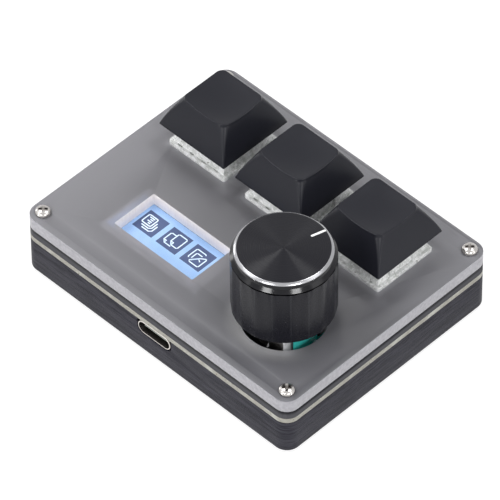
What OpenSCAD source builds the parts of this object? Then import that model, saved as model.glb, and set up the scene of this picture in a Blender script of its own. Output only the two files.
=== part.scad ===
// Macro keypad: three key switches, a push-and-turn knob and a small colour display.
// Millimetres. Z = 0 is the desk under the feet. +X runs along the key row to the
// user's right, +Y away from the user towards the USB port, and +Z up.
// The body is a stack: case, board, spacer and clear plate, held by four screws.

/* [Enclosure] */
// Width of the body, along the key row
body_w = 73; // [72:0.5:90]
// Depth of the body, from the key side to the port side
body_d = 57; // [56:0.5:80]
// Radius of the four upright corners
corner_r = 3; // [2.5:0.1:5]
// Height of the printed case
case_h = 8.1; // [7:0.1:14]
// Thickness of the case's side walls
case_wall = 2; // [1.4:0.1:2.6]
// Thickness of the case's floor
case_floor = 1.6; // [1.2:0.1:2.2]
// Thickness of the circuit board
board_t = 1.2; // [0.8:0.1:2]
// Thickness of the spacer between board and plate
spacer_t = 2; // [1.8:0.1:3]
// Thickness of the clear top plate
plate_t = 3; // [2:0.1:4]
// Height by which the feet stand proud of the case
foot_proud = 0.8; // [0.4:0.1:2]
// Diameter of a foot
foot_d = 8; // [5:0.5:10]
// Distance of a foot's centre from the two edges beside it
foot_inset = 8; // [7:0.5:14]

/* [Corner screws] */
// Distance of a screw from the two edges beside it
screw_inset = 2.8; // [2.8:0.1:3.6]
// Thread diameter of the screws
screw_d = 2; // [1.6:0.1:2]
// Diameter of the screw heads
screw_head_d = 3.3; // [3:0.1:4]
// Height of the screw heads
screw_head_h = 1.3; // [1:0.1:1.8]
// Length of the brass inserts
insert_len = 4; // [3:0.5:5]

/* [Keys] */
// Distance between neighbouring keys
key_pitch = 21.2; // [19:0.1:21.6]
// Distance of the key row from the user's edge of the body
key_from_front = 15.7; // [13:0.1:17]
// Shift of the key row towards +X
key_shift = 0.4; // [-0.8:0.1:0.8]
// Width of a keycap's skirt
cap_base = 18.2; // [17.8:0.1:18.6]
// Width of a keycap's top, along the key row
cap_top_w = 12; // [11.6:0.1:13.2]
// Depth of a keycap's top, from the user's side to the port side
cap_top_d = 11.6; // [11.2:0.1:13.2]
// Height of a keycap, from the skirt to the corners of its rim
cap_h = 7.4; // [7.3:0.1:10]
// Depth of the round finger dish below the corners of the rim
cap_dish = 1.1; // [0.5:0.1:1.2]
// Radius of the eased edge round a keycap's top
cap_rim_r = 0.3; // [0.2:0.1:0.8]
// Wall thickness of a keycap
cap_wall = 1.3; // [1:0.1:1.3]
// Travel of a key
key_travel = 4; // [3:0.1:4]

/* [Knob and encoder] */
// Distance of the knob's axis from the left edge of the body
knob_from_left = 16.6; // [15:0.1:18]
// Diameter of the knob
knob_d = 21; // [19:0.2:24]
// Height of the knob
knob_h = 16.2; // [14:0.1:18]
// Gap between the plate and the knob
knob_gap = 3.9; // [3.2:0.1:5]
// Number of flutes round the knob
flute_count = 18; // [12:1:30]
// Depth of a flute
flute_depth = 0.15; // [0.1:0.05:0.5]
// Gap between the encoder's corners and the plate's round hole
knob_hole_gap = 0.2; // [0.2:0.1:1.5]
// Width of the encoder, across its terminals
encoder_w = 11.6; // [11.2:0.1:11.6]
// Depth of the encoder, over the folded sides of its lid
encoder_d = 12.4; // [12:0.1:12.4]
// Height of the encoder over the board
encoder_h = 6.8; // [6.4:0.1:7.4]
// Diameter of the encoder's shaft
shaft_d = 6; // [5:0.1:6]
// Travel of the knob when it is pushed
push_travel = 0.5; // [0.3:0.1:0.6]

/* [Display] */
// Width of the display window
window_w = 21.7; // [18:0.1:23]
// Depth of the display window
window_d = 11; // [9:0.1:12]
// Distance of the window's centre from the right edge of the body
window_from_right = 25.7; // [24:0.1:27]
// Distance of the window's centre and the knob's axis from the port edge
back_row_inset = 16.2; // [15:0.1:17.5]

/* [USB port] */
// Width of the port's shell
port_w = 8.94; // [8.8:0.02:9]
// Height of the port's shell
port_h = 3.2; // [3.1:0.02:3.3]
// Length of the port's shell
port_len = 7.4; // [6.8:0.1:8]

/* [Hidden] */

$fn = 64;
cut = 0.5;                    // how far a cutting shape runs past the face it cuts
snug = 0.05;                  // clearance of fitted pieces
slack = 0.2;                  // clearance of loose pieces
seam = 0.01;                  // overlap of a hollow and the face it opens through
stop_gap = 0.4;               // left under a moving piece when it is fully pressed

// Levels of the stack
case_z = foot_proud;
board_z = case_z + case_h;
spacer_z = board_z + board_t;
plate_z = spacer_z + spacer_t;
top_z = plate_z + plate_t;
seat_depth = plate_t + spacer_t;  // from the plate's top down to the board

// Places in plan
key_y = key_from_front - body_d / 2;
knob_x = knob_from_left - body_w / 2;
window_x = body_w / 2 - window_from_right;
back_row_y = body_d / 2 - back_row_inset;
screw_x = body_w / 2 - screw_inset;
screw_y = body_d / 2 - screw_inset;

// Case
case_inner_r = 1;
insert_wall = 0.6;            // wall of the inserts, over the screw
boss_wall = 2;                // wall of the bosses, over the screw

// Key switch, from the plate's top
switch_hole = 14;             // square hole in the plate
flange_w = 15.6;              // flange of the lower housing
flange_t = 1;
flange_r = 0.6;
housing_top = 6.6;            // top of the upper housing
housing_foot_w = 14.3;        // upper housing where it meets the flange
housing_top_w = 11;
housing_top_d = 10.2;
housing_wall = 0.9;
roof_t = 1;
base_floor = 1.2;
base_wall = 1;
post_d = 4;                   // locating post through the board
post_len = 3.3;               // reach of post and pins below the board's top
post_floor = 0.5;             // closed end of the locating post
guide_d = 2.1;                // guide pin of the stem
guide_wall = 0.5;             // tube round the guide pin
guide_slack = 0.1;
slider_w = 8.2;
slider_d = 6.9;
neck_w = 6.6;
neck_d = 5.9;
cross_w = 4;                  // cross that carries the keycap
cross_bar_x = 1.3;
cross_bar_y = 1.1;
cross_h = 3.6;
slider_low = key_travel - base_slider_room();   // underside of the slider at rest
slider_top = housing_top - roof_t - guide_slack;
spring_room = 3;              // depth of the spring's pocket in the slider
spring_r = 2.1;
wire_r = 0.15;
spring_turns = 8;
spring_steps = 10;            // sections for each turn
pin_r = 0.5;
pin_hole_r = 0.75;
pin_a = [-3.81, 2.54];        // places of the two pins
pin_b = [2.54, 5.08];
leaf_t = 0.25;
leaf_h = 3.2;
leaf_foot = 0.2;              // strap under the slider's lowest place
clip_y = 3.2;                 // places of the clips that hold the upper housing
clip_w = 1.4;
clip_h = 2.2;
clip_t = 0.35;
latch_x = [-5, -1.7, 1.7, 5]; // places of the latches along the other two sides
latch_w = 1.2;
latch_d = 0.6;

// Keycap, from the plate's top
cap_overlap = 0.87;           // how far the skirt reaches down past the top of the housing
cap_z = housing_top - cap_overlap;
cap_skirt_r = 0.3;
cap_least_r = 0.2;            // corners of the cavity at the skirt
cap_top_r = 1.6;
cap_belly = 0.2;              // how far the sides swell
cap_roof = 1.05;              // over the cavity, at the middle of the dish
cap_post_d = 5.6;
cap_side_rings = 6;
cap_rim_rings = 2;
cap_dish_rings = 3;
cap_arc = 5;                  // steps round a corner
cap_span = 4;                 // steps along a straight side
cap_rim_x = cap_top_w / 2;
cap_rim_y = cap_top_d / 2;
cap_reach = norm([cap_rim_x - cap_top_r, cap_rim_y - cap_top_r]) + cap_top_r;
dish_r = (pow(cap_reach, 2) + pow(cap_dish, 2)) / (2 * cap_dish);

// Encoder, from the board
knob_hole_d = 2 * (norm([encoder_w, encoder_d]) / 2 + knob_hole_gap);
cover_t = 0.8;
rotor_z = 2.4;
rotor_t = 1.6;
dome_h = 0.6;
encoder_floor = 1;
cavity_r = encoder_w / 2 - 0.75;
lid_t = 0.45;                 // sheet of the folded lid
lid_wrap = 2.8;               // how far the folded sides reach round a corner
lid_side_low = 1;             // lower edge of the folded sides
catch_w = 3.6;
catch_h = 1.3;
catch_out = 0.5;              // how far the catch stands proud
catch_z = encoder_h / 2 - catch_h / 2;
terminal_w = 0.7;
spindle_r = 2;
spindle_flat = 1.5;
bushing_h = 5;
bushing_r = shaft_d / 2 + 0.5;
shaft_len = 15;               // over the cover
shaft_flat = shaft_d / 4;     // distance of the D flat from the axis
flat_len = 10;
lug_w = 2;
terminal_pitch = 2.5;
terminal_notch = 0.3;         // recess in the box over the terminals
terminal_notch_h = 1.2;
terminal_x = encoder_w / 2 + 0.9;
leg_len = 3.5;                // reach of terminals and lugs below the board's top
leg_hole_r = 0.6;

// USB port
port_room = 0.25;             // gap between the shell and the case
port_wall = 0.3;
tongue_front = 0.8;           // the tongue ends this far inside the mouth
tongue_w = 6.7;
tongue_t = 0.7;
block_len = 1.6;              // plastic block at the back of the shell

// Small parts under the board
chip_place = [9, 2];
chip_size = [9.9, 3.9, 1.5];
chip_leads = 16;
chip_standoff = 0.1;
lead_pitch = 1.27;
lead_w = 0.4;
lead_out = 1;
lead_t = 0.2;
leg_out = 0.6;
regulator_place = [-6, 12];
regulator_size = [2.9, 1.6, 1.1];
crystal_place = [17, 3.5];
crystal_size = [3.2, 2.5, 0.75];
part_size = [1.6, 0.8];
part_end = 0.3;
part_pitch = 2.6;
resistor_place = [-14, 4];
capacitor_place = [2, 8.5];
diode_out = 3;                // beside the port
diode_inset = 5;              // from the port edge

// Knob, from its own underside
knob_r = knob_d / 2;
knob_wall = 1.6;
knob_roof = 2;
insert_rise = 0.7;            // the insert starts above the knob's rim
insert_bore_top = knob_h - knob_roof - stop_gap;
bushing_room = seat_relief();

// Display, in the spacer's layer
panel_border = 1.5;           // from the window to the near end of the panel
panel_tail = 4.7;             // from the window to the end with the flexible tail
panel_side = 1.25;            // from the window to the long sides
panel_w = window_w + panel_border + panel_tail;
panel_d = window_d + 2 * panel_side;
panel_gap = 0.1;              // under the plate
glass_t = 0.6;
tape_t = 0.5;
panel_x = window_x - window_w / 2 - panel_border + panel_w / 2;
light_t = spacer_t - panel_gap - glass_t - tape_t;
flex_w = 8;
flex_t = 0.15;
flex_len = 3;

// Colours
case_black = [0.16, 0.16, 0.17];
acrylic = [0.62, 0.62, 0.64, 0.8];
milky = [0.86, 0.87, 0.84, 0.9];
cap_black = [0.14, 0.14, 0.15];
steel = [0.75, 0.75, 0.76];
gold = [0.85, 0.68, 0.35];
teal = [0.1, 0.5, 0.42];
chip_black = [0.1, 0.1, 0.1];

// Room left under the slider at the end of its travel sets its height at rest
function base_slider_room() = seat_depth - base_floor - stop_gap;
// The insert is relieved from below so that it clears the bushing when pushed
function seat_relief() = encoder_h + bushing_h + push_travel + stop_gap - seat_depth - knob_gap;

// ---- Shared shapes ----

module at(x, y, z) translate([x, y, z]) children();

// A flat plate outline with four round corners, centred
module round_rect(w, d, r) {
    square([w - 2 * r, d], center = true);
    square([w, d - 2 * r], center = true);
    for (x = [-1, 1], y = [-1, 1]) translate([x * (w / 2 - r), y * (d / 2 - r)]) circle(r);
}

module slab(w, d, r, z, t) at(0, 0, z) linear_extrude(t) round_rect(w, d, r);

module block(w, d, h) translate([-w / 2, -d / 2, 0]) cube([w, d, h]);

// A block whose four sides lean in, from w1 x d1 at its foot to w2 x d2 at its top
module tapered_block(w1, d1, w2, d2, h) intersection() {
    rotate([90, 0, 0]) linear_extrude(max(d1, d2), center = true)
        polygon([[-w1 / 2, 0], [w1 / 2, 0], [w2 / 2, h], [-w2 / 2, h]]);
    rotate([90, 0, 90]) linear_extrude(max(w1, w2), center = true)
        polygon([[-d1 / 2, 0], [d1 / 2, 0], [d2 / 2, h], [-d2 / 2, h]]);
}

module at_screws() for (x = [-1, 1], y = [-1, 1]) translate([x * screw_x, y * screw_y, 0]) children();

module at_key(i) translate([key_shift + (i - 2) * key_pitch, key_y, top_z]) children();

module at_keys() for (i = [1:3]) at_key(i) children();

module at_encoder(z = 0) translate([knob_x, back_row_y, spacer_z + z]) children();

// Pin places of a key switch
module at_key_pins() {
    translate(pin_a) children();
    translate(pin_b) children();
}

// Rows of the encoder's terminals: three on one side, two on the other
module at_terminals() {
    for (y = [-1:1]) translate([0, y * terminal_pitch, 0]) children();
    mirror([1, 0, 0]) for (y = [-1, 1]) translate([0, y * terminal_pitch, 0]) children();
}

module at_lugs() for (y = [-1, 1]) translate([0, y * (encoder_d - lid_t) / 2, 0]) children();

// ---- Body ----

module bottom_case() {
    color(case_black) difference() {
        slab(body_w, body_d, corner_r, case_z, case_h);
        difference() {
            slab(body_w - 2 * case_wall, body_d - 2 * case_wall, case_inner_r, case_z + case_floor, case_h);
            at_screws() at(0, 0, case_z) cylinder(r = screw_d / 2 + boss_wall, h = case_h);
        }
        at_screws() at(0, 0, board_z - insert_len - insert_wall)
            cylinder(r = screw_d / 2 + insert_wall, h = case_h);
        at(0, body_d / 2 - case_wall / 2, board_z) port_slot();
        for (x = [-1, 1], y = [-1, 1])
            at(x * (body_w / 2 - foot_inset), y * (body_d / 2 - foot_inset), case_z - cut)
                cylinder(r = foot_d / 2 + slack, h = cut + foot_recess());
    }
}

function foot_recess() = case_floor / 3;

// Opening in the back wall round the port, open to the board above
module port_slot() {
    slot_w = port_w + 2 * port_room;
    slot_h = port_h + port_room;
    rotate([90, 0, 0]) linear_extrude(case_wall + 2 * cut, center = true) {
        translate([0, -slot_h + port_h / 2]) square([slot_w - port_h, port_h], center = true);
        for (x = [-1, 1]) translate([x * (slot_w - port_h) / 2, -slot_h + port_h / 2]) circle(port_h / 2);
        translate([-slot_w / 2, -slot_h + port_h / 2]) square([slot_w, slot_h]);
    }
}

module main_pcb() {
    color([0.8, 0.79, 0.7]) difference() {
        slab(body_w, body_d, corner_r, board_z, board_t);
        at_screws() at(0, 0, board_z - cut) cylinder(r = screw_d / 2 + slack, h = board_t + 2 * cut);
        at_keys() at(0, 0, -seat_depth - board_t - cut) {
            cylinder(r = post_d / 2 + snug, h = board_t + 2 * cut);
            at_key_pins() cylinder(r = pin_hole_r, h = board_t + 2 * cut);
        }
        at_encoder(-board_t - cut) {
            at_terminals() at(terminal_x, 0, 0) cylinder(r = leg_hole_r, h = board_t + 2 * cut);
            at_lugs() block(lug_w + 2 * slack, lid_t + 2 * slack, board_t + 2 * cut);
        }
    }
}

module spacer_frame() {
    color([0.12, 0.12, 0.13]) difference() {
        slab(body_w, body_d, corner_r, spacer_z, spacer_t);
        at_screws() at(0, 0, spacer_z - cut) cylinder(r = screw_d / 2 + slack, h = spacer_t + 2 * cut);
        at_keys() at(0, 0, -seat_depth - cut) block(switch_hole, switch_hole, spacer_t + 2 * cut);
        at_encoder(-cut) cylinder(r = knob_hole_d / 2, h = spacer_t + 2 * cut);
        at(panel_x, back_row_y, spacer_z - cut)
            block(panel_w + 2 * slack, panel_d + 2 * slack, spacer_t + 2 * cut);
        at(panel_x + panel_w / 2 + flex_len / 2, back_row_y, spacer_z - cut)
            block(flex_len + 2 * slack, flex_w + 2 * slack, spacer_t + 2 * cut);
    }
}

module top_plate() {
    color(acrylic) difference() {
        slab(body_w, body_d, corner_r, plate_z, plate_t);
        at_screws() at(0, 0, plate_z - cut) cylinder(r = screw_d / 2 + slack, h = plate_t + 2 * cut);
        at_keys() at(0, 0, -plate_t - cut) block(switch_hole, switch_hole, plate_t + 2 * cut);
        at_encoder(spacer_t - cut) cylinder(r = knob_hole_d / 2, h = plate_t + 2 * cut);
        at(window_x, back_row_y, plate_z - cut) block(window_w, window_d, plate_t + 2 * cut);
    }
}

// Pan head with a cross recess, over a plain shank that ends in the insert
module corner_screws() {
    shank = top_z - board_z + insert_len;
    slot_w = screw_head_d / 6;
    slot_len = screw_head_d * 0.7;
    slot_floor = screw_head_h * 0.3;
    edge = 0.4;                    // rounding of the head
    color(steel) at_screws() at(0, 0, top_z) difference() {
        union() {
            at(0, 0, -shank) cylinder(r = screw_d / 2, h = shank);
            rotate_extrude() intersection() {
                square([screw_head_d / 2, screw_head_h]);
                union() {
                    square([screw_head_d / 2 - edge, screw_head_h]);
                    square([screw_head_d / 2, screw_head_h - edge]);
                    translate([screw_head_d / 2 - edge, screw_head_h - edge]) circle(edge);
                }
            }
        }
        for (a = [45, 135]) rotate(a) at(0, 0, slot_floor) block(slot_len, slot_w, screw_head_h);
    }
}

// Threaded sleeves with two wide ends and a waist
module screw_inserts() {
    end_h = insert_len * 0.4;
    waist = insert_wall * 2 / 3;
    thread_room = 0.02;
    color("gold") at_screws() at(0, 0, board_z - insert_len) difference() {
        union() {
            cylinder(r = screw_d / 2 + insert_wall - snug, h = end_h);
            cylinder(r = screw_d / 2 + waist, h = insert_len);
            at(0, 0, insert_len - end_h) cylinder(r = screw_d / 2 + insert_wall - snug, h = end_h);
        }
        at(0, 0, -cut) cylinder(r = screw_d / 2 + thread_room, h = insert_len + 2 * cut);
    }
}

// Low domed rubber discs glued into shallow recesses
module rubber_feet() {
    edge = min(foot_proud / 2, 0.4);
    color([0.1, 0.1, 0.1]) for (x = [-1, 1], y = [-1, 1])
        at(x * (body_w / 2 - foot_inset), y * (body_d / 2 - foot_inset), 0) rotate_extrude()
            polygon([
                [0, 0], [foot_d / 2 - edge, 0], [foot_d / 2, edge],
                [foot_d / 2, foot_proud + foot_recess()], [0, foot_proud + foot_recess()]
            ]);
}

// ---- Display ----

module display_tape() {
    inset = 0.5;
    color("white") at(panel_x, back_row_y, spacer_z)
        block(panel_w - 2 * inset, panel_d - 2 * inset, tape_t);
}

// White frame that holds the light guide, open over the picture
module display_light_frame() {
    recess = 0.2;
    color("white") difference() {
        at(panel_x, back_row_y, spacer_z + tape_t) block(panel_w, panel_d, light_t);
        at(window_x, back_row_y, spacer_z + tape_t + light_t - recess) block(window_w, window_d, light_t);
    }
}

module display_glass() {
    color([0.55, 0.7, 0.9]) at(panel_x, back_row_y, spacer_z + tape_t + light_t)
        block(panel_w - 2 * slack, panel_d - 2 * slack, glass_t);
}

// Flexible tail: out of the panel, down its end and flat on to the board
module display_flex() {
    drop = tape_t + light_t;
    color([0.75, 0.5, 0.2]) at(panel_x + panel_w / 2 + slack, back_row_y, spacer_z) {
        at(flex_len / 2 - slack, 0, 0) block(flex_len - 2 * slack, flex_w, flex_t);
        at(flex_t / 2, 0, 0) block(flex_t, flex_w, drop + flex_t);
        at(flex_t / 2 - slack, 0, drop) block(2 * slack + flex_t, flex_w, flex_t);
    }
}

// ---- USB port, hung under the board at the back edge ----

module port_outline(w, h) {
    square([w - h, h], center = true);
    for (x = [-1, 1]) translate([x * (w - h) / 2, 0]) circle(h / 2);
}

module at_port() at(0, body_d / 2, board_z - port_h / 2) rotate([90, 0, 0]) children();

module usb_shell() {
    color(steel) at_port() difference() {
        linear_extrude(port_len) port_outline(port_w, port_h);
        at(0, 0, -cut) linear_extrude(port_len - port_wall + cut)
            port_outline(port_w - 2 * port_wall, port_h - 2 * port_wall);
    }
}

module usb_tongue() {
    block_z = port_len - port_wall - block_len;
    room = 2 * port_wall + 2 * snug;
    color([0.62, 0.6, 0.54]) at_port() {
        at(0, 0, block_z) linear_extrude(block_len) port_outline(port_w - room, port_h - room);
        at(0, 0, tongue_front) linear_extrude(block_z - tongue_front)
            square([tongue_w, tongue_t], center = true);
    }
}

// Twelve flat contacts on each side of the tongue
module usb_contacts() {
    pitch = 0.5;
    count = 12;
    size = [0.25, 0.06, 3.6];
    inset = 0.4;
    color(gold) at_port() for (side = [-1, 1], i = [0:count - 1])
        at((i - (count - 1) / 2) * pitch, side * (tongue_t + size.y) / 2, tongue_front + inset)
            linear_extrude(size.z) square([size.x, size.y], center = true);
}

// ---- Small parts on the board's underside ----

module under_board(place) at(place.x, place.y, board_z) mirror([0, 0, 1]) children();

module controller_chip() {
    rows = chip_leads / 2;
    color(chip_black) under_board(chip_place) {
        at(0, 0, chip_standoff) block(chip_size.x, chip_size.y, chip_size.z);
        for (side = [-1, 1], i = [0:rows - 1])
            at((i - (rows - 1) / 2) * lead_pitch, side * (chip_size.y + lead_out) / 2, 0) {
                block(lead_w, lead_out, lead_t);
                at(0, side * (lead_w - lead_out) / 2, 0) block(lead_w, lead_w, chip_size.z / 2);
            }
    }
}

// Small three-legged voltage regulator
module regulator() {
    leg_x = 0.95;
    leg_y = (regulator_size.y + leg_out) / 2 - snug;
    color(chip_black) under_board(regulator_place) {
        at(0, 0, chip_standoff / 2) block(regulator_size.x, regulator_size.y, regulator_size.z);
        for (x = [-leg_x, leg_x]) at(x, -leg_y, 0) block(lead_w, leg_out, lead_t);
        at(0, leg_y, 0) block(lead_w, leg_out, lead_t);
    }
}

// Sealed can with a soldered rim
module crystal() {
    rim = 0.3;
    color(steel) under_board(crystal_place) {
        block(crystal_size.x, crystal_size.y, crystal_size.z / 2);
        block(crystal_size.x - rim, crystal_size.y - rim, crystal_size.z);
    }
}

// A chip part with two metal ends
module chip_part(h) {
    block(part_size.x - 2 * part_end, part_size.y - 2 * snug, h);
    for (x = [-1, 1]) at(x * (part_size.x - part_end) / 2, 0, 0) block(part_end, part_size.y, h);
}

module resistors() {
    count = 6;
    h = 0.45;
    color([0.15, 0.15, 0.16]) for (i = [0:count - 1])
        under_board(resistor_place + [i * part_pitch, 0]) rotate(90) chip_part(h);
}

module capacitors() {
    count = 5;
    h = 0.8;
    color([0.7, 0.6, 0.45]) for (i = [0:count - 1])
        under_board(capacitor_place + [i * part_pitch, 0]) rotate(90) chip_part(h);
}

module protection_diodes() {
    h = 0.7;
    color(chip_black) for (x = [-1, 1])
        under_board([x * (port_w / 2 + diode_out), body_d / 2 - diode_inset]) chip_part(h);
}

// ---- Encoder ----

// Open plastic box that carries the contacts, cut back where the lid folds round it
module encoder_body() {
    box_h = encoder_h - cover_t;
    color(teal) at_encoder() difference() {
        block(encoder_w, encoder_d - 2 * lid_t - 2 * snug, box_h);
        at(0, 0, encoder_floor) cylinder(r = cavity_r, h = encoder_h);
        for (x = [-1, 1]) at(x * encoder_w / 2, 0, -cut)
            block(2 * terminal_notch, terminal_pitch * 4, terminal_notch_h + cut);
        lid_corners(lid_side_low - snug, box_h, snug);
    }
}

// The four returns of the lid's folded sides
module lid_corners(low, high, grow) for (x = [-1, 1], y = [-1, 1])
    at(x * (encoder_w - lid_t) / 2, y * (encoder_d - lid_wrap) / 2, low)
        block(lid_t + 2 * grow, lid_wrap + 2 * grow, high - low);

// Steel lid folded down over two sides and round the corners. Each side has a lug through the board,
// and a catch pressed out of the sheet.
module encoder_cover() {
    lid_z = encoder_h - cover_t;
    color(steel) at_encoder() {
        difference() {
            at(0, 0, lid_z) block(encoder_w, encoder_d, cover_t);
            at(0, 0, lid_z - cut) cylinder(r = shaft_d / 2 + slack, h = cover_t + 2 * cut);
        }
        lid_corners(lid_side_low, lid_z, 0);
        at_lugs() {
            at(0, 0, lid_side_low) block(encoder_w, lid_t, lid_z - lid_side_low);
            at(0, 0, -leg_len) block(lug_w, lid_t, leg_len + lid_side_low);
        }
        for (a = [0, 180]) rotate(a) at(0, encoder_d / 2, catch_z) lid_catch();
    }
}

// Wedge that leans out towards its foot
module lid_catch() rotate([90, 0, 90]) linear_extrude(catch_w, center = true)
    polygon([[-lid_t / 2, 0], [catch_out, 0], [catch_out, catch_out / 2], [0, catch_h], [-lid_t / 2, catch_h]]);

// Bearing for the shaft, with a collar on the lid and a chamfered tip
module encoder_bushing() {
    collar_w = 0.8;
    collar_h = 0.4;
    tip = 0.3;
    color(steel) at_encoder(encoder_h) difference() {
        union() {
            cylinder(r = bushing_r + collar_w, h = collar_h);
            cylinder(r = bushing_r, h = bushing_h - tip);
            at(0, 0, bushing_h - tip) cylinder(r1 = bushing_r, r2 = bushing_r - tip, h = tip);
        }
        at(0, 0, -cut) cylinder(r = shaft_d / 2 + snug, h = bushing_h + 2 * cut);
    }
}

module encoder_terminals() {
    strap_t = 0.4;
    strap_from = encoder_w / 2 - terminal_notch;
    strap_len = terminal_x - strap_from;
    color(steel) at_encoder() at_terminals() {
        at(terminal_x, 0, -leg_len) block(terminal_w, terminal_w, leg_len + 2 * strap_t);
        at(strap_from + strap_len / 2, 0, strap_t) block(strap_len, terminal_w, strap_t);
    }
}

// Spring washer under the lid, over the rotor's teeth; drawn flat, without its click bumps
module detent_spring() {
    washer_t = 0.25;
    bore_room = 0.4;
    lid_z = encoder_h - cover_t;
    color(steel) at_encoder(lid_z - washer_t) difference() {
        cylinder(r = cavity_r - slack, h = washer_t);
        at(0, 0, -cut) cylinder(r = shaft_d / 2 + bore_room, h = washer_t + 2 * cut);
    }
}

// Thin spring dome under the shaft, with a flat crown and a brim
module push_dome() {
    dome_r = 2.4;
    brim = 0.4;
    crown_r = 0.8;
    shell_t = 0.15;
    lean = 0.1;                    // keeps the leaning side as thick as the rest
    color(steel) at_encoder(encoder_floor) rotate_extrude() polygon([
        [0, dome_h - shell_t], [crown_r, dome_h - shell_t], [dome_r - brim, 0], [dome_r, 0],
        [dome_r, shell_t], [dome_r - brim + lean, shell_t], [crown_r + lean, dome_h], [0, dome_h]
    ]);
}

// Spindle outline with two flats
module spindle_outline(grow) intersection() {
    circle(spindle_r + grow);
    square([2 * (spindle_r + grow), 2 * (spindle_flat + grow)], center = true);
}

// Contact wheel: the shaft turns it and slides through it
module encoder_rotor() {
    teeth = 20;
    rim = cavity_r - 0.5;
    tooth_len = 0.8;
    tooth_w = 0.5;
    tooth_rise = 0.35;
    tooth_root = 0.3;              // sunk in the wheel
    tooth_x = rim - 0.7;
    color([0.9, 0.88, 0.8]) at_encoder(rotor_z) {
        linear_extrude(rotor_t) difference() {
            circle(rim);
            spindle_outline(snug);
        }
        for (i = [0:teeth - 1]) rotate(i * 360 / teeth)
            at(tooth_x, 0, rotor_t - tooth_root) block(tooth_len, tooth_w, tooth_root + tooth_rise);
    }
}

// Spindle with two flats below, round shaft through the bushing, one flat at the knob
module encoder_shaft() {
    dome_play = 0.02;
    tooth_play = 0.35;
    tip = 0.5;                     // chamfer
    tip_z = encoder_floor + dome_h + dome_play;
    shoulder_z = rotor_z + rotor_t + push_travel + tooth_play;
    top = encoder_h + shaft_len;
    color(steel) at_encoder() difference() {
        union() {
            at(0, 0, tip_z) linear_extrude(shoulder_z - tip_z) spindle_outline(0);
            at(0, 0, shoulder_z) cylinder(r = shaft_d / 2, h = top - shoulder_z - tip);
            at(0, 0, top - tip) cylinder(r1 = shaft_d / 2, r2 = shaft_d / 2 - tip, h = tip);
        }
        at(shaft_flat, -shaft_d, top - flat_len) cube([shaft_d, 2 * shaft_d, flat_len + cut]);
    }
}

module at_knob(z = 0) translate([knob_x, back_row_y, top_z + knob_gap + z]) children();

// Plastic hub pressed into the knob, with a D bore that grips the shaft
module knob_insert() {
    room_r = bushing_r + 2.6;      // hollow that takes the bushing
    color([0.1, 0.1, 0.1]) at_knob() difference() {
        at(0, 0, insert_rise) cylinder(r = knob_r - knob_wall - snug, h = knob_h - knob_roof - insert_rise);
        at(0, 0, insert_rise - cut) cylinder(r = room_r, h = bushing_room - insert_rise + cut);
        at(0, 0, 0) linear_extrude(insert_bore_top) difference() {
            circle(shaft_d / 2 + snug);
            translate([shaft_flat + snug, -shaft_d]) square([shaft_d, 2 * shaft_d]);
        }
    }
}

// Turned knob: fluted grip, groove, polished shoulder, smooth band, bright bevel and a flat spun top
module knob_shell() {
    foot_bevel = 0.5;
    bevel = 0.55;                  // bright edge at the top
    shoulder = 0.7;                // polished slope under the band
    shoulder_z = knob_h - 2;       // foot of the slope
    band_r = knob_r - shoulder;
    groove_r = knob_r - 0.35;
    groove_h = 0.3;
    grip_z = shoulder_z - groove_h;
    cutter_r = 7;
    cutter_x = knob_r - flute_depth + cutter_r;
    color([0.13, 0.13, 0.14]) at_knob() difference() {
        rotate_extrude() polygon([
            [0, 0], [knob_r - foot_bevel, 0], [knob_r, foot_bevel], [knob_r, grip_z],
            [groove_r, grip_z], [groove_r, shoulder_z], [knob_r, shoulder_z],
            [band_r, shoulder_z + shoulder], [band_r, knob_h - bevel], [band_r - bevel, knob_h], [0, knob_h]
        ]);
        at(0, 0, -cut) cylinder(r = knob_r - knob_wall, h = knob_h - knob_roof + cut);
        for (i = [0:flute_count - 1]) rotate(i * 360 / flute_count)
            at(cutter_x, 0, -cut) cylinder(r = cutter_r, h = grip_z + groove_h / 2 + cut);
    }
}

// ---- Key switches, each drawn from the plate's top at the key's axis ----

module switch_base() {
    wide = switch_hole - 2 * snug;
    inner = wide - 2 * base_wall;
    floor_z = base_floor - seat_depth;
    tube_r = guide_d / 2 + guide_slack + guide_wall;
    tube_top = slider_low + spring_room - key_travel - stop_gap;
    step = 0.3;                    // the part under the plate is that much smaller on each side
    clip_bite = 0.5;
    color(milky) difference() {
        union() {
            difference() {
                union() {
                    linear_extrude(flange_t) round_rect(flange_w, flange_w, flange_r);
                    at(0, 0, -plate_t) block(wide, wide, plate_t);
                    at(0, 0, -seat_depth) block(wide - 2 * step, wide - 2 * step, spacer_t + snug);
                }
                at(0, 0, floor_z) block(inner, inner, seat_depth);
                for (x = [-1, 1], y = [-1, 1]) at(x * flange_w / 2, y * clip_y, flange_t / 2)
                    block(2 * clip_bite, clip_w + 2 * guide_slack, flange_t);
                for (x = latch_x, y = [-1, 1]) at(x, y * housing_foot_w / 2, flange_t / 3)
                    block(latch_w, latch_d, flange_t);
            }
            at(0, 0, -seat_depth) cylinder(r = tube_r, h = seat_depth + tube_top);
            at(0, 0, -seat_depth - post_len) cylinder(r = post_d / 2, h = post_len);
        }
        at(0, 0, -seat_depth - post_len + post_floor)
            cylinder(r = guide_d / 2 + guide_slack, h = seat_depth + post_len);
        at_key_pins() at(0, 0, -seat_depth - cut) cylinder(r = pin_r + snug, h = base_floor + 2 * cut);
    }
}

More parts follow.
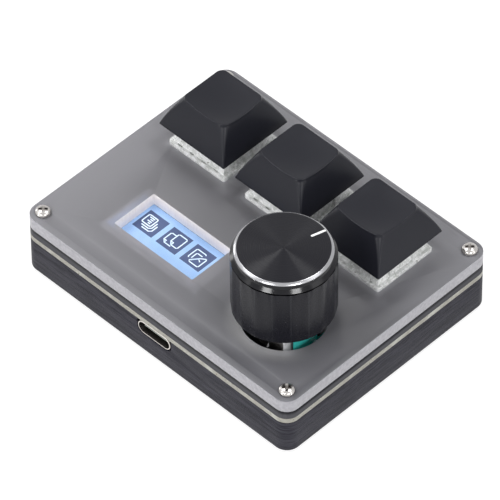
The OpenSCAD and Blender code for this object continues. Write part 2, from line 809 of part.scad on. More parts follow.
// Upper housing: a leaning shell, open at the top for the stem
module switch_housing() {
    rise = housing_top - flange_t;
    notch = [4.6, 2.2, 1.6];       // for a light, on the user's side
    color(milky) at(0, 0, flange_t) difference() {
        union() {
            tapered_block(housing_foot_w, housing_foot_w, housing_top_w, housing_top_d, rise);
            for (x = [-1, 1], y = [-1, 1])
                at(x * (housing_foot_w - clip_t) / 2, y * clip_y, 0) block(2 * clip_t, clip_w, clip_h);
        }
        at(0, 0, -seam) tapered_block(
            housing_foot_w - 2 * housing_wall, housing_foot_w - 2 * housing_wall,
            housing_top_w - 2 * housing_wall, housing_top_d - 2 * housing_wall, rise - roof_t + seam);
        block(neck_w + 2 * slack, neck_d + 2 * slack, rise + cut);
        at(0, -housing_top_d / 2, rise - notch.z) block(notch.x, notch.y, notch.z + cut);
    }
}

// Fixed and moving contact leaves with their pins
module switch_contacts() {
    leaf_z = base_floor - seat_depth;
    side_y = 4.5;                  // the moving leaf stands behind the slider
    fixed_w = 2.6;
    moving_w = 1.4;
    foot_w = 0.8;
    color(gold) {
        at_key_pins() at(0, 0, -seat_depth - post_len) cylinder(r = pin_r, h = post_len + base_floor);
        at(pin_b.x, pin_b.y, leaf_z) block(fixed_w, leaf_t, leaf_h);
        at(pin_a.x, side_y, leaf_z) block(moving_w, leaf_t, leaf_h);
        at(pin_a.x, (pin_a.y + side_y) / 2, leaf_z) block(foot_w, side_y - pin_a.y, leaf_foot);
    }
}

// One wire section of the coil: a ring of points round the helix at angle a
function coil_ring(a, z, sides) = [
    for (s = [0:sides - 1]) let (w = s * 360 / sides, r = spring_r + wire_r * cos(w))
        [r * cos(a), r * sin(a), z + wire_r * sin(w)]
];

module coil_spring(length) {
    sides = 6;
    steps = spring_turns * spring_steps;
    low = wire_r;
    high = length - wire_r;
    rings = [for (i = [0:steps]) coil_ring(i * 360 / spring_steps, low + (high - low) * i / steps, sides)];
    points = [for (ring = rings) for (p = ring) p];
    walls = [
        for (i = [0:steps - 1]) for (s = [0:sides - 1]) let (n = (s + 1) % sides)
            [i * sides + s, i * sides + n, (i + 1) * sides + n, (i + 1) * sides + s]
    ];
    first = [for (s = [sides - 1:-1:0]) s];
    last = [for (s = [0:sides - 1]) steps * sides + s];
    polyhedron(points, concat(walls, [first, last]), convexity = 10);
}

module switch_spring() {
    seat = base_floor - seat_depth;
    color(steel) at(0, 0, seat) coil_spring(slider_low + spring_room - seat);
}

// Slider with its guide pin, two side rails and the cross that carries the keycap
module stem() {
    rail_w = 1.2;
    rail_h = 2.4;
    rail_out = 0.5;
    guide_below = 2.1;             // guide pin under the slider
    color([0.93, 0.93, 0.9]) {
        difference() {
            union() {
                at(0, 0, slider_low) block(slider_w, slider_d, slider_top - slider_low);
                at(0, 0, slider_top) block(neck_w, neck_d, housing_top - slider_top);
                for (x = [-1, 1]) at(x * (slider_w / 2 + rail_out), 0, slider_low)
                    block(rail_w, rail_w, rail_h);
            }
            at(0, 0, slider_low - cut) cylinder(r = spring_r + wire_r + slack, h = spring_room + cut);
        }
        at(0, 0, slider_low - guide_below) cylinder(r = guide_d / 2, h = spring_room + guide_below);
        cross(housing_top, cross_h, 0);
    }
}

module cross(z, h, grow) at(0, 0, z) {
    block(cross_w + 2 * grow, cross_bar_y + 2 * grow, h);
    block(cross_bar_x + 2 * grow, cross_w + 2 * grow, h);
}

// Keycap form. t runs from 0 at the skirt to 1 at the rim; the outline narrows, swells and rounds
// its corners on the way, and inset shrinks it for the cavity.
function cap_half(rim, t) = cap_base / 2 + (rim - cap_base / 2) * t + 4 * cap_belly * t * (1 - t);
function cap_round(t, inset) = max(cap_skirt_r + (cap_top_r - cap_skirt_r) * t * t - inset, cap_least_r);
// Height of the round dish over the skirt, at point p in plan
function dish_z(p) = cap_h - cap_dish + dish_r - sqrt(pow(dish_r, 2) - p.x * p.x - p.y * p.y);
function turned(q, p) = [p.x * cos(90 * q) - p.y * sin(90 * q), p.x * sin(90 * q) + p.y * cos(90 * q)];

// Outline of a rectangle with round corners: for each quarter an arc, then the steps of a side
function cap_outline(hx, hy, r) = [
    for (q = [0:3]) let (x = (q % 2 == 0 ? hx : hy) - r, y = (q % 2 == 0 ? hy : hx) - r) each concat(
        [for (s = [0:cap_arc]) turned(q, [x + r * cos(90 * s / cap_arc), y + r * sin(90 * s / cap_arc)])],
        [for (s = [1:cap_span - 1]) turned(q, [x * (1 - 2 * s / cap_span), y + r])]
    )
];
function cap_plan(t, inset) =
    cap_outline(cap_half(cap_rim_x, t) - inset, cap_half(cap_rim_y, t) - inset, cap_round(t, inset));
function raised(plan, heights) = [for (i = [0:len(plan) - 1]) [plan[i].x, plan[i].y, heights[i]]];

// Joins rings of as many points, and closes them with a fan below at z = 0 and another at the given height
module ring_solid(rings, height) {
    count = len(rings[0]);
    last = len(rings) * count;
    walls = [
        for (i = [0:len(rings) - 2]) for (s = [0:count - 1]) let (n = (s + 1) % count)
            [i * count + s, (i + 1) * count + s, (i + 1) * count + n, i * count + n]
    ];
    below = [for (s = [0:count - 1]) [s, (s + 1) % count, last]];
    above = [for (s = [0:count - 1]) [last - count + (s + 1) % count, last - count + s, last + 1]];
    points = concat([for (ring = rings) each ring], [[0, 0, 0], [0, 0, height]]);
    polyhedron(points, concat(walls, below, above), convexity = 6);
}

// Outside of the keycap: leaning sides, eased rim, and a dish
module cap_skin() {
    rim = cap_plan(1, 0);
    sides = [
        for (i = [0:cap_side_rings]) let (t = i / cap_side_rings)
            raised(cap_plan(t, 0), [for (p = rim) t * (dish_z(p) - cap_rim_r)])
    ];
    edge = [
        for (i = [1:cap_rim_rings]) let (a = 90 * i / cap_rim_rings)
            let (plan = cap_plan(1, cap_rim_r * (1 - cos(a))))
                raised(plan, [for (p = plan) dish_z(p) - cap_rim_r * (1 - sin(a))])
    ];
    brow = cap_plan(1, cap_rim_r);
    dish = [
        for (i = [1:cap_dish_rings]) let (k = 1 - i / (cap_dish_rings + 1), plan = [for (p = brow) p * k])
            raised(plan, [for (p = plan) dish_z(p)])
    ];
    ring_solid(concat(sides, edge, dish), cap_h - cap_dish);
}

// Cavity under the keycap, one wall thickness inside its sides
module cap_cavity(height) ring_solid([
    for (i = [0:cap_side_rings]) let (z = height * i / cap_side_rings, plan = cap_plan(z / cap_h, cap_wall))
        raised(plan, [for (p = plan) z])
], height);

// A round bar made of flat strips, which joins the keycap's flat facets cleanly
module strip_bar(r, h, sides) linear_extrude(h)
    polygon([for (i = [0:sides - 1]) let (a = (i + 0.5) * 360 / sides) [r * cos(a), r * sin(a)]]);

module keycap() {
    cavity_h = cap_h - cap_dish - cap_roof;
    post_z = cap_overlap;          // the post starts level with the top of the housing
    post_sides = 24;
    color(cap_black) at(0, 0, cap_z) difference() {
        union() {
            difference() {
                cap_skin();
                at(0, 0, -seam) cap_cavity(cavity_h);
            }
            at(0, 0, post_z) strip_bar(cap_post_d / 2, cavity_h + cap_roof / 2 - post_z, post_sides);
        }
        cross(post_z - cut, cross_h + cut + snug, snug);
    }
}

// ---- Nodes ----

bottom_case();
main_pcb();
spacer_frame();
top_plate();
corner_screws();
screw_inserts();
rubber_feet();
display_glass();
display_light_frame();
display_flex();
display_tape();
usb_shell();
usb_tongue();
usb_contacts();
controller_chip();
regulator();
crystal();
resistors();
capacitors();
protection_diodes();
encoder_body();
encoder_cover();
encoder_bushing();
encoder_terminals();
detent_spring();
push_dome();
encoder_rotor();
encoder_shaft();
knob_insert();
knob_shell();
for (i = [1:3]) {
    at_key(i) switch_base();
    at_key(i) switch_housing();
    at_key(i) switch_contacts();
    at_key(i) switch_spring();
    at_key(i) stem();
    at_key(i) keycap();
}
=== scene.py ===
"""Looks of the macro keypad: finishes, detailed pieces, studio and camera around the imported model."""

import math

import bmesh
import bpy
from mathutils import Matrix, Vector

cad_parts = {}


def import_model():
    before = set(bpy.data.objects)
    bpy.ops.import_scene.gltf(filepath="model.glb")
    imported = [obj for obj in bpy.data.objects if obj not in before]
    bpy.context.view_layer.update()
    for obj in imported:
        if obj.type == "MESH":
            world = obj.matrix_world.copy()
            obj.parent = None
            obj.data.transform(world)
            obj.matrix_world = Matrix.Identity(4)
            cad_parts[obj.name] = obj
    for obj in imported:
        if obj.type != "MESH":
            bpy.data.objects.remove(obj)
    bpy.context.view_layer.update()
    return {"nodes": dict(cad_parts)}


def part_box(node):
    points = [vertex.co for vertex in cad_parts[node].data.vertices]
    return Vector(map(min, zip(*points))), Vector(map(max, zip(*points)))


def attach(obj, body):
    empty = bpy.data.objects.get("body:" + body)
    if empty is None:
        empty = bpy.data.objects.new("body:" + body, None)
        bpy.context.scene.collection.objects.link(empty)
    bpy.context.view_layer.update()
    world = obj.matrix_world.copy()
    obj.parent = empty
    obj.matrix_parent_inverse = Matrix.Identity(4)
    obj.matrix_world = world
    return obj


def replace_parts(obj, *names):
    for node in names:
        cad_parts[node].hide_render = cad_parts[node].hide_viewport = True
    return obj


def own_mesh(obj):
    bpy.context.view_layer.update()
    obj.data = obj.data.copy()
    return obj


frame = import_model()

# ---------------------------------------------------------------- sizes and places

MM = 0.001
KEYS = (1, 2, 3)


def box_mm(node):
    """Lowest and highest corner of a CAD node, in millimetres."""
    low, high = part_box(node)
    return low / MM, high / MM


def centre(node):
    low, high = box_mm(node)
    return (low + high) / 2


CASE_LOW, CASE_HIGH = box_mm("bottom_case")
PLATE_LOW, PLATE_HIGH = box_mm("top_plate")
BOARD_TOP = box_mm("main_pcb")[1].z
KNOB_LOW, KNOB_HIGH = box_mm("knob_shell")
TOP = PLATE_HIGH.z                     # the plate's upper face
BODY_W = CASE_HIGH.x - CASE_LOW.x
BODY_D = CASE_HIGH.y - CASE_LOW.y
CORNER_R = 3.0
SCREW_INSET = 2.8
SCREW_R = 1.0
KNOB_X, KNOB_Y = centre("encoder_shaft").x, centre("encoder_bushing").y
KNOB_HOLE_R = 8.69
FLUTES = 18
FLUTE_DEPTH = 0.15
FLUTE_PHASE = 7 / 12                   # of a flute
SWITCH_HOLE = 14.0
KEY_TRAVEL, PUSH_TRAVEL = 4.0, 0.5     # of a key, and of the knob
WINDOW_W, WINDOW_D = 21.7, 11.0
WINDOW_X, WINDOW_Y = BODY_W / 2 - 25.7, BODY_D / 2 - 16.2


def key_place(i):
    """Axis of key i, at the plate's upper face."""
    middle = centre(f"switch_base_{i}")
    return Vector((middle.x, middle.y, TOP))


# ---------------------------------------------------------------- shader maths

class Value:
    """A socket in a node tree. Sums with it add Math nodes."""

    def __init__(self, nodes, socket):
        self.nodes, self.socket = nodes, socket

    def math(self, operation, *items):
        return self.nodes.node("ShaderNodeMath", {"operation": operation}, dict(enumerate(items)))

    def __add__(self, other):
        return self.math("ADD", self, other)

    def __sub__(self, other):
        return self.math("SUBTRACT", self, other)

    def __mul__(self, other):
        return self.math("MULTIPLY", self, other)

    def __truediv__(self, other):
        return self.math("DIVIDE", self, other)

    def __radd__(self, other):
        return self.math("ADD", other, self)

    def __rsub__(self, other):
        return self.math("SUBTRACT", other, self)

    def __rmul__(self, other):
        return self.math("MULTIPLY", other, self)

    def size(self):
        return self.math("ABSOLUTE", self)

    def sine(self):
        return self.math("SINE", self)

    def root(self):
        return self.math("SQRT", self)

    def fraction(self):
        return self.math("FRACT", self)

    def or_more(self, other):
        return self.math("MAXIMUM", self, other)

    def ramp(self, low, high):
        """0 below low, 1 above high, and a smooth rise between."""
        sockets = {"Value": self, "From Min": low, "From Max": high}
        return self.nodes.node("ShaderNodeMapRange", {"interpolation_type": "SMOOTHSTEP"}, sockets)


class Nodes:
    """The node tree of a material or the world, and its last shader."""

    def __init__(self, owner, shader):
        owner.use_nodes = True
        self.tree = owner.node_tree
        self.shader = self.tree.nodes[shader]

    def set(self, sockets):
        """Feeds the shader's sockets, by name."""
        for name, value in sockets.items():
            self.feed(self.shader.inputs[name], value)
        return self

    def feed(self, socket, value):
        """Links a Value to the socket, or sets its constant; a colour may leave out its alpha."""
        if isinstance(value, Value):
            self.tree.links.new(value.socket, socket)
        elif isinstance(value, tuple) and len(value) == 3 and len(socket.default_value) == 4:
            socket.default_value = (*value, 1.0)
        else:
            socket.default_value = value

    def node(self, kind, settings, sockets, out=0):
        """Adds any node: its settings first, then the values or links of its sockets."""
        node = self.tree.nodes.new(kind)
        for name, value in settings.items():
            setattr(node, name, value)
        for name, value in sockets.items():
            self.feed(node.inputs[name], value)
        return Value(self, node.outputs[out])

    def mix(self, mask, first, second):
        """first where mask is 0, second where it is 1, for colours."""
        settings = {"data_type": "RGBA", "clamp_factor": True}
        return self.node("ShaderNodeMix", settings, {0: mask, 6: first, 7: second}, out=2)

    def seen(self):
        """1 where the background shows: straight to the camera, off gloss or through clear parts."""
        rays = ("Is Camera Ray", "Is Glossy Ray", "Is Transmission Ray")
        camera, gloss, clear = (self.node("ShaderNodeLightPath", {}, {}, out=ray) for ray in rays)
        return (camera + gloss + clear).ramp(0, 1)


class Finish(Nodes):
    """A procedural material round one Principled shader; its constants are given by socket name."""

    def __init__(self, name, constants):
        self.material = bpy.data.materials.new(name)
        super().__init__(self.material, "Principled BSDF")
        self.set(constants)

    def place(self):
        """The point on the piece, in millimetres."""
        spot = self.node("ShaderNodeTexCoord", {}, {}, out="Object")
        return self.node("ShaderNodeVectorMath", {"operation": "SCALE"}, {0: spot, "Scale": 1 / MM})

    def facing(self):
        """The surface's own normal."""
        return self.node("ShaderNodeTexCoord", {}, {}, out="Normal")

    def part(self, vector, axis):
        """One of a vector's three numbers."""
        return self.node("ShaderNodeSeparateXYZ", {}, {0: vector}, out="XYZ".index(axis))

    def stretched(self, vector, scale):
        return self.node("ShaderNodeVectorMath", {"operation": "MULTIPLY"}, {0: vector, 1: Vector(scale)})

    def distance(self, x, y, to_x, to_y):
        """Distance in plan from an upright axis."""
        aside, along = x - to_x, y - to_y
        return (aside * aside + along * along).root()

    def noise(self, vector, scale, detail=2.0, rough=0.5):
        """Noise from 0 to 1; scale is in spots for each millimetre."""
        sockets = {"Vector": vector, "Scale": scale, "Detail": detail, "Roughness": rough}
        return self.node("ShaderNodeTexNoise", {}, sockets, out=0)

    def bump(self, height, depth, strength=1.0):
        """Lifts the surface by height times depth, with depth in millimetres."""
        sockets = {"Height": height, "Distance": depth * MM, "Strength": strength}
        return self.set({"Normal": self.node("ShaderNodeBump", {}, sockets)})


def grey(level):
    return (level, level, level)


# ---------------------------------------------------------------- finishes

def printed_black():
    """Black filament laid in flat layers, with a raked first layer underneath."""
    layer_h, rake_pitch = 0.2, 0.6
    finish = Finish("printed_black", {"Specular IOR Level": 0.20})
    place = finish.place()
    up = finish.part(finish.facing(), "Z").size()
    layer = (finish.part(place, "Z") * (2 * math.pi / layer_h)).sine()
    streak = finish.noise(finish.stretched(place, (0.5, 0.5, 6.0)), 1.0, 4.0)
    wobble = finish.noise(finish.stretched(place, (0.12, 0.12, 2.6)), 1.0, 2.0)
    raked = ((finish.part(place, "X") + finish.part(place, "Y")) * (2 * math.pi / rake_pitch)).sine()
    flat = up.ramp(0.6, 0.9)
    relief = (layer * 0.4 + streak * 1.3) * (1 - flat) + raked * flat * 0.5
    shade = wobble * 0.5 + streak * 0.5
    finish.set({
        "Base Color": finish.mix(shade.ramp(0.35, 0.65), (0.002, 0.002, 0.007), (0.036, 0.035, 0.047)),
        "Roughness": streak * 0.25 + 0.40,
    })
    return finish.bump(relief, 0.03, 0.7)


def board_laminate():
    """Bare glass-fibre edge, black mask on the faces."""
    finish = Finish("board_laminate", {"Specular IOR Level": 0.1})
    place = finish.place()
    up = finish.part(finish.facing(), "Z").size()
    weave = finish.noise(finish.stretched(place, (1.2, 1.2, 14.0)), 1.0, 3.0)
    patch = finish.noise(place, 0.35, 3.0)
    fleck = finish.noise(place, 1.6, 2.0)
    edge = finish.mix(weave.ramp(0.3, 0.7), (0.26, 0.25, 0.22), (0.40, 0.39, 0.35))
    edge = finish.mix(patch.ramp(0.45, 0.75), edge, (0.46, 0.46, 0.42))
    edge = finish.mix(fleck.ramp(0.66, 0.74), edge, (0.16, 0.15, 0.11))
    finish.set({
        "Base Color": finish.mix(up.ramp(0.5, 0.8), edge, (0.010, 0.011, 0.011)),
        "Roughness": 0.55 - up.ramp(0.5, 0.8) * 0.25,
    })
    return finish.bump(weave, 0.02, 0.5)


def matt_spacer():
    """Black sheet, darker along its upper edge, next to the plate."""
    finish = Finish("matt_spacer", {"Specular IOR Level": 0.06})
    place = finish.place()
    grain = finish.noise(finish.stretched(place, (0.6, 0.6, 6.0)), 1.5, 3.0)
    rise = (finish.part(place, "Z") - BOARD_TOP) / (PLATE_LOW.z - BOARD_TOP)
    patchy = finish.mix(grain, (0.045, 0.045, 0.052), (0.100, 0.100, 0.108))
    finish.set({
        "Base Color": finish.mix((rise + grain * 0.3).ramp(0.60, 1.0), patchy, (0.018, 0.018, 0.021)),
        "Roughness": grain * 0.2 + 0.35,
    })
    return finish.bump(grain, 0.02, 0.5)


def flange_glow(x, y, i):
    """Light that the milky flange of key i spreads into the sheet round it."""
    low, high = box_mm(f"switch_base_{i}")
    middle, half = (low + high) / 2, (high - low) / 2
    aside, along = (x - middle.x).size() - half.x, (y - middle.y).size() - half.y
    return 1 - aside.or_more(along).ramp(-0.3, 1.6)


def satin_acrylic():
    """Clear sheet with a satin face. Painted shade darkens it towards one corner, behind the keys and
    along a line inside one edge; painted light makes it paler beside the knob, and a painted glow lights
    it there and round the milky flanges."""
    finish = Finish("satin_acrylic", {"IOR": 1.49, "Transmission Weight": 0.74, "Emission Strength": 1.0})
    place = finish.place()
    etch = finish.noise(place, 2.2, 4.0, 0.6)
    cloud = finish.noise(place, 0.06, 2.0) * 12
    x, y = finish.part(place, "X"), finish.part(place, "Y")
    # Painted light and shade: the sheet's tone falls from one corner to the other, as the lamps light it.
    painted_falloff = (y - x + cloud).ramp(-30, 72)
    even = finish.mix(painted_falloff, (0.70, 0.692, 0.745), (0.425, 0.425, 0.467))
    # Painted shade: a dark line just inside the far edge stands for that edge's refraction.
    painted_edge_shade = 1 - (y + BODY_D / 2 - 0.65).size().ramp(0.1, 0.35)
    even = finish.mix(painted_edge_shade * 0.4, even, (0.16, 0.16, 0.17))
    # Painted shade behind the keys, where they keep light off the sheet.
    shade_behind_keys = (1 - (y - 2).size().ramp(3, 12)) * (1 - x.ramp(22, 31))
    even = finish.mix(shade_behind_keys * 0.26, even, grey(0.02))
    gap = finish.distance(x, y, KNOB_X, KNOB_Y) - KNOB_HOLE_R
    beside = (y - KNOB_Y + (x - KNOB_X) * 0.25).ramp(-1, 8) * 0.9
    # Painted light: the sheet turns pale beside the knob's hole.
    pale = (1 - gap.ramp(0.0, 3.8)) * beside
    # Painted glow in the emission, beside the knob and round the milky flanges.
    lit = (1 - gap.ramp(-0.5, 3.8)) * beside + sum(flange_glow(x, y, i) for i in KEYS) * 0.6
    finish.set({
        "Base Color": finish.mix(pale, even, grey(1.0)),
        "Emission Color": finish.mix(lit, grey(0.0), (0.10, 0.10, 0.105)),
        "Roughness": etch * 0.03 + 0.27,
    })
    return finish.bump(etch, 0.0015, 0.15)


def cut_acrylic():
    """Laser-cut edge of the sheet: pale and mottled, with faint upright lines."""
    finish = Finish("cut_acrylic", {"IOR": 1.49, "Transmission Weight": 0.15})
    place = finish.place()
    kerf = finish.noise(finish.stretched(place, (5.0, 5.0, 0.6)), 1.0, 2.0)
    mottle = finish.noise(place, 1.4, 3.0)
    shade = kerf * 0.25 + mottle * 0.75
    finish.set({
        "Base Color": finish.mix(shade.ramp(0.3, 0.7), (0.34, 0.335, 0.365), (0.46, 0.455, 0.485)),
        "Roughness": mottle * 0.15 + 0.3,
    })
    return finish.bump(shade, 0.01, 0.4)


def window_wall():
    """Polished edge of the window, warm and pale, with a faint painted glow that stands for light from
    the sheet.
    """
    finish = Finish("window_wall", {"IOR": 1.49, "Emission Strength": 0.1})
    place = finish.place()
    kerf = finish.noise(finish.stretched(place, (4.0, 4.0, 0.5)), 1.0, 2.0)
    shade = finish.mix(kerf.ramp(0.3, 0.7), (0.76, 0.70, 0.68), (0.82, 0.765, 0.75))
    # Painted glow: the wall's colour is also given as a faint emission.
    finish.set({"Base Color": shade, "Emission Color": shade, "Roughness": kerf * 0.2 + 0.25})
    return finish.bump(kerf, 0.01, 0.4)


def turned_metal(name, colour, rough, wear=0.35):
    """Plated or turned metal with fine scratches and a little tarnish."""
    finish = Finish(name, {"Metallic": 1.0})
    place = finish.place()
    scratch = finish.noise(finish.stretched(place, (2.0, 9.0, 2.0)), 2.0, 4.0, 0.7)
    tarnish = finish.noise(place, 1.1, 3.0)
    dull = tuple(c * 0.62 for c in colour)
    finish.set({
        "Base Color": finish.mix(tarnish.ramp(0.4, 0.8) * wear, colour, dull),
        "Roughness": scratch * 0.18 + rough,
    })
    return finish.bump(scratch, 0.004, 0.5)


def moulded(name, dark, light, rough, grain=6.0, depth=0.012, sheen=0.5):
    """Moulded plastic: a fine even grain and a slow change of shade."""
    finish = Finish(name, {"IOR": 1.5, "Specular IOR Level": sheen})
    place = finish.place()
    fine = finish.noise(place, grain, rough=0.6)
    slow = finish.noise(place, 0.25)
    finish.set({
        "Base Color": finish.mix(slow * 0.6 + fine * 0.4, dark, light),
        "Roughness": fine * 0.16 + rough,
    })
    return finish.bump(fine, depth, 0.6)


def milky_shell():
    """Cloudy translucent moulding: white patches, grey ones, and a few dark spots."""
    finish = Finish("switch_milky", {"IOR": 1.5, "Transmission Weight": 0.12})
    place = finish.place()
    cloud = finish.noise(place, 0.7)
    grain = finish.noise(place, 2.2)
    pit = finish.noise(finish.stretched(place, (1.1, 1.1, 1.6)), 1.0, 1.0).ramp(0.70, 0.76)
    white = (cloud * 0.7 + grain * 0.3).ramp(0.36, 0.58)
    shade = finish.mix(white, (0.70, 0.72, 0.70), (0.96, 0.97, 0.97))
    finish.set({
        "Base Color": finish.mix(pit * 0.7, shade, (0.20, 0.20, 0.18)),
        "Roughness": grain * 0.25 + 0.12,
    })
    return finish.bump(grain, 0.03, 0.6)


def tinned_lid():
    """Tinned sheet, bright towards the lid's two ends; between them it is painted dark as painted shade.
    """
    finish = Finish("lid_tinned", {"Metallic": 0.35})
    place = finish.place()
    drawn = finish.noise(finish.stretched(place, (6.0, 6.0, 0.5)), 1.0, 3.0)
    low, high = box_mm("encoder_cover")
    reach = (finish.part(place, "Y") - (low.y + high.y) / 2).size() - (high.y - low.y) / 2
    # Painted shade: away from the lid's two ends the tin is painted dark.
    bright = reach.ramp(-2.9, -2.2)
    tin = finish.mix(drawn.ramp(0.3, 0.7), (0.60, 0.60, 0.62), (0.90, 0.90, 0.92))
    finish.set({
        "Base Color": finish.mix(bright, (0.10, 0.105, 0.11), tin),
        "Roughness": drawn * 0.2 + 0.3,
    })
    return finish.bump(drawn, 0.004, 0.5)


def fluted_grip():
    """Black anodised grip with painted highlights, in streaks, along the ridges between its flutes."""
    finish = Finish("grip_black", {"IOR": 1.5, "Specular IOR Level": 0.19})
    place = finish.place()
    fine = finish.noise(place, 5.0, 2.0, 0.6)
    aside, along = finish.part(place, "X") - KNOB_X, finish.part(place, "Y") - KNOB_Y
    turn = along.math("ARCTAN2", along, aside) * (FLUTES / (2 * math.pi)) - FLUTE_PHASE
    ridge = 1 - (turn.fraction() * 2 - 1).size()
    patchy = finish.noise(finish.stretched(place, (0.6, 0.6, 0.12)), 1.0, 2.0).ramp(0.35, 0.65)
    # Painted highlight: paler streaks along the ridges stand for the glints they catch.
    ridge_glint = ridge.ramp(0.93, 0.99) * (fine * 0.4 + patchy * 0.6)
    black = finish.mix(fine, (0.005, 0.005, 0.008), (0.008, 0.008, 0.012))
    finish.set({
        "Base Color": finish.mix(ridge_glint, black, (0.030, 0.031, 0.036)),
        "Roughness": fine * 0.16 + 0.2,
    })
    return finish.bump(fine, 0.004, 0.6)


def spun_top():
    """Black anodised face. The lathe left rings that lean outwards and draw the light out in fans."""
    lean, ring_depth = 0.13, 0.006
    finish = Finish("spun_top", {
        "Specular IOR Level": 0.225, "Anisotropic": 1.0, "Anisotropic Rotation": 0.25,
    })
    place = finish.place()
    x, y = finish.part(place, "X"), finish.part(place, "Y")
    radius = finish.distance(x, y, KNOB_X, KNOB_Y)
    along = {"W": radius * 9.0, "Scale": 1.0}
    ring = finish.node("ShaderNodeTexNoise", {"noise_dimensions": "1D"}, along)
    middle = 1 - finish.distance(x, y, KNOB_X - 0.3, KNOB_Y - 1.5).ramp(0.2, 0.5)
    finish.set({
        "Base Color": finish.mix(ring + middle * 0.8, (0.004, 0.004, 0.007), (0.011, 0.011, 0.015)),
        "Roughness": ring * 0.08 + 0.225,
    })
    return finish.bump(ring * ring_depth - radius * lean, 1.0)


def glowing(name, colour, shade):
    """A lit patch of the display under its glass; pixels show close up."""
    finish = Finish(name, {
        "Coat Weight": 0.3, "Coat Roughness": 0.05, "Roughness": 0.5, "Emission Strength": 0.28,
    })
    place = finish.place()
    pitch = 0.135
    columns = (finish.part(place, "X") * (2 * math.pi / pitch)).sine()
    rows = (finish.part(place, "Y") * (2 * math.pi / pitch)).sine()
    pixel = (columns.ramp(-0.95, -0.5) * rows.ramp(-0.95, -0.5)) * 0.35 + 0.65
    slow = finish.noise(place, 0.2, 2.0)
    tint = finish.mix(slow.ramp(0.3, 0.8), colour, shade)
    lit = finish.mix(pixel, tuple(c * 0.6 for c in colour), tint)
    return finish.set({"Base Color": lit, "Emission Color": lit})


PRINTED = printed_black().material
LAMINATE = board_laminate().material
SPACER = matt_spacer().material
ACRYLIC = satin_acrylic().material
CUT_ACRYLIC = cut_acrylic().material
WINDOW_WALL = window_wall().material
NICKEL = turned_metal("screw_nickel", (0.50, 0.48, 0.465), 0.12).material
SHELL_STEEL = turned_metal("shell_steel", (0.70, 0.66, 0.62), 0.24).material
# Painted shade: dark metal for the inside of the port's shell.
SHELL_SHADE = turned_metal("shell_inside", (0.030, 0.028, 0.026), 0.4).material
LID_STEEL = turned_metal("lid_steel", (0.92, 0.93, 0.95), 0.30).material
TINNED = tinned_lid().material
# Painted shade: darker metal for the lid's bent-down sides.
LID_SHADE = turned_metal("lid_side", (0.16, 0.155, 0.15), 0.22).material
GOLD = turned_metal("contact_gold", (0.90, 0.68, 0.32), 0.2, 0.1).material
BRASS = turned_metal("insert_brass", (0.78, 0.58, 0.28), 0.25).material
CUT_EDGE = turned_metal("bright_cut", (0.37, 0.37, 0.385), 0.14, 0.05).material
CAP_BLACK = moulded("cap_black", (0.010, 0.0104, 0.0150), (0.014, 0.0145, 0.0200), 0.27, 7.0, 0.006,
                    sheen=0.195).material
GRIP_BLACK = fluted_grip().material
# Painted shade: the knob's groove takes a near-black finish with almost no gloss.
GROOVE_BLACK = moulded("groove_black", (0.001, 0.001, 0.002), (0.003, 0.003, 0.004), 0.6,
                       sheen=0.02).material
BAND_BLACK = moulded("band_black", (0.004, 0.004, 0.006), (0.007, 0.007, 0.009), 0.06, 5.0, 0.001,
                     sheen=0.24).material
HUB_BLACK = moulded("hub_black", (0.012, 0.012, 0.012), (0.02, 0.02, 0.02), 0.45).material
CHIP_BLACK = moulded("chip_black", (0.010, 0.010, 0.010), (0.018, 0.018, 0.018), 0.4).material
RUBBER = moulded("foot_rubber", (0.010, 0.010, 0.010), (0.02, 0.02, 0.02), 0.7, 3.0, 0.03).material
TEAL = moulded("encoder_teal", (0.06, 0.74, 0.66), (0.09, 0.84, 0.77), 0.28).material
MILKY = milky_shell().material
TONGUE = moulded("tongue_pale", (0.20, 0.22, 0.20), (0.30, 0.32, 0.29), 0.4).material
STEM_WHITE = moulded("stem_white", (0.62, 0.62, 0.58), (0.72, 0.72, 0.68), 0.35).material
LIGHT_WHITE = moulded("light_white", (0.75, 0.75, 0.75), (0.85, 0.85, 0.85), 0.4).material
CERAMIC = moulded("ceramic", (0.34, 0.26, 0.16), (0.46, 0.37, 0.24), 0.5).material
AMBER = moulded("flex_amber", (0.10, 0.055, 0.02), (0.15, 0.085, 0.03), 0.25).material
PAINT = moulded("pointer_paint", (0.80, 0.80, 0.80), (0.90, 0.90, 0.90), 0.4).material
SPUN = spun_top().material
GLASS_BORDER = moulded("glass_border", (0.045, 0.045, 0.055), (0.07, 0.07, 0.085), 0.12).material
PANEL_BLUE = glowing("panel_blue", (0.28, 0.45, 0.74), (0.36, 0.52, 0.80)).material
TILE_NAVY = glowing("tile_navy", (0.040, 0.065, 0.16), (0.055, 0.085, 0.19)).material
ICON_WHITE = glowing("icon_white", (0.62, 0.76, 0.90), (0.75, 0.85, 0.95)).material

NODE_FINISH = {
    "bottom_case": PRINTED, "main_pcb": LAMINATE, "spacer_frame": SPACER, "top_plate": ACRYLIC,
    "corner_screws": NICKEL, "screw_inserts": BRASS, "rubber_feet": RUBBER,
    "display_glass": GLASS_BORDER, "display_light_frame": LIGHT_WHITE, "display_flex": AMBER,
    "display_tape": LIGHT_WHITE, "usb_shell": SHELL_STEEL, "usb_tongue": TONGUE, "usb_contacts": GOLD,
    "controller_chip": CHIP_BLACK, "regulator": CHIP_BLACK, "crystal": LID_STEEL, "resistors": CHIP_BLACK,
    "capacitors": CERAMIC, "protection_diodes": CHIP_BLACK,
    "encoder_body": TEAL, "encoder_cover": LID_STEEL, "encoder_bushing": LID_STEEL,
    "encoder_terminals": LID_STEEL, "detent_spring": LID_STEEL, "push_dome": LID_STEEL,
    "encoder_rotor": STEM_WHITE, "encoder_shaft": LID_STEEL,
    "knob_insert": HUB_BLACK, "knob_shell": GRIP_BLACK,
}
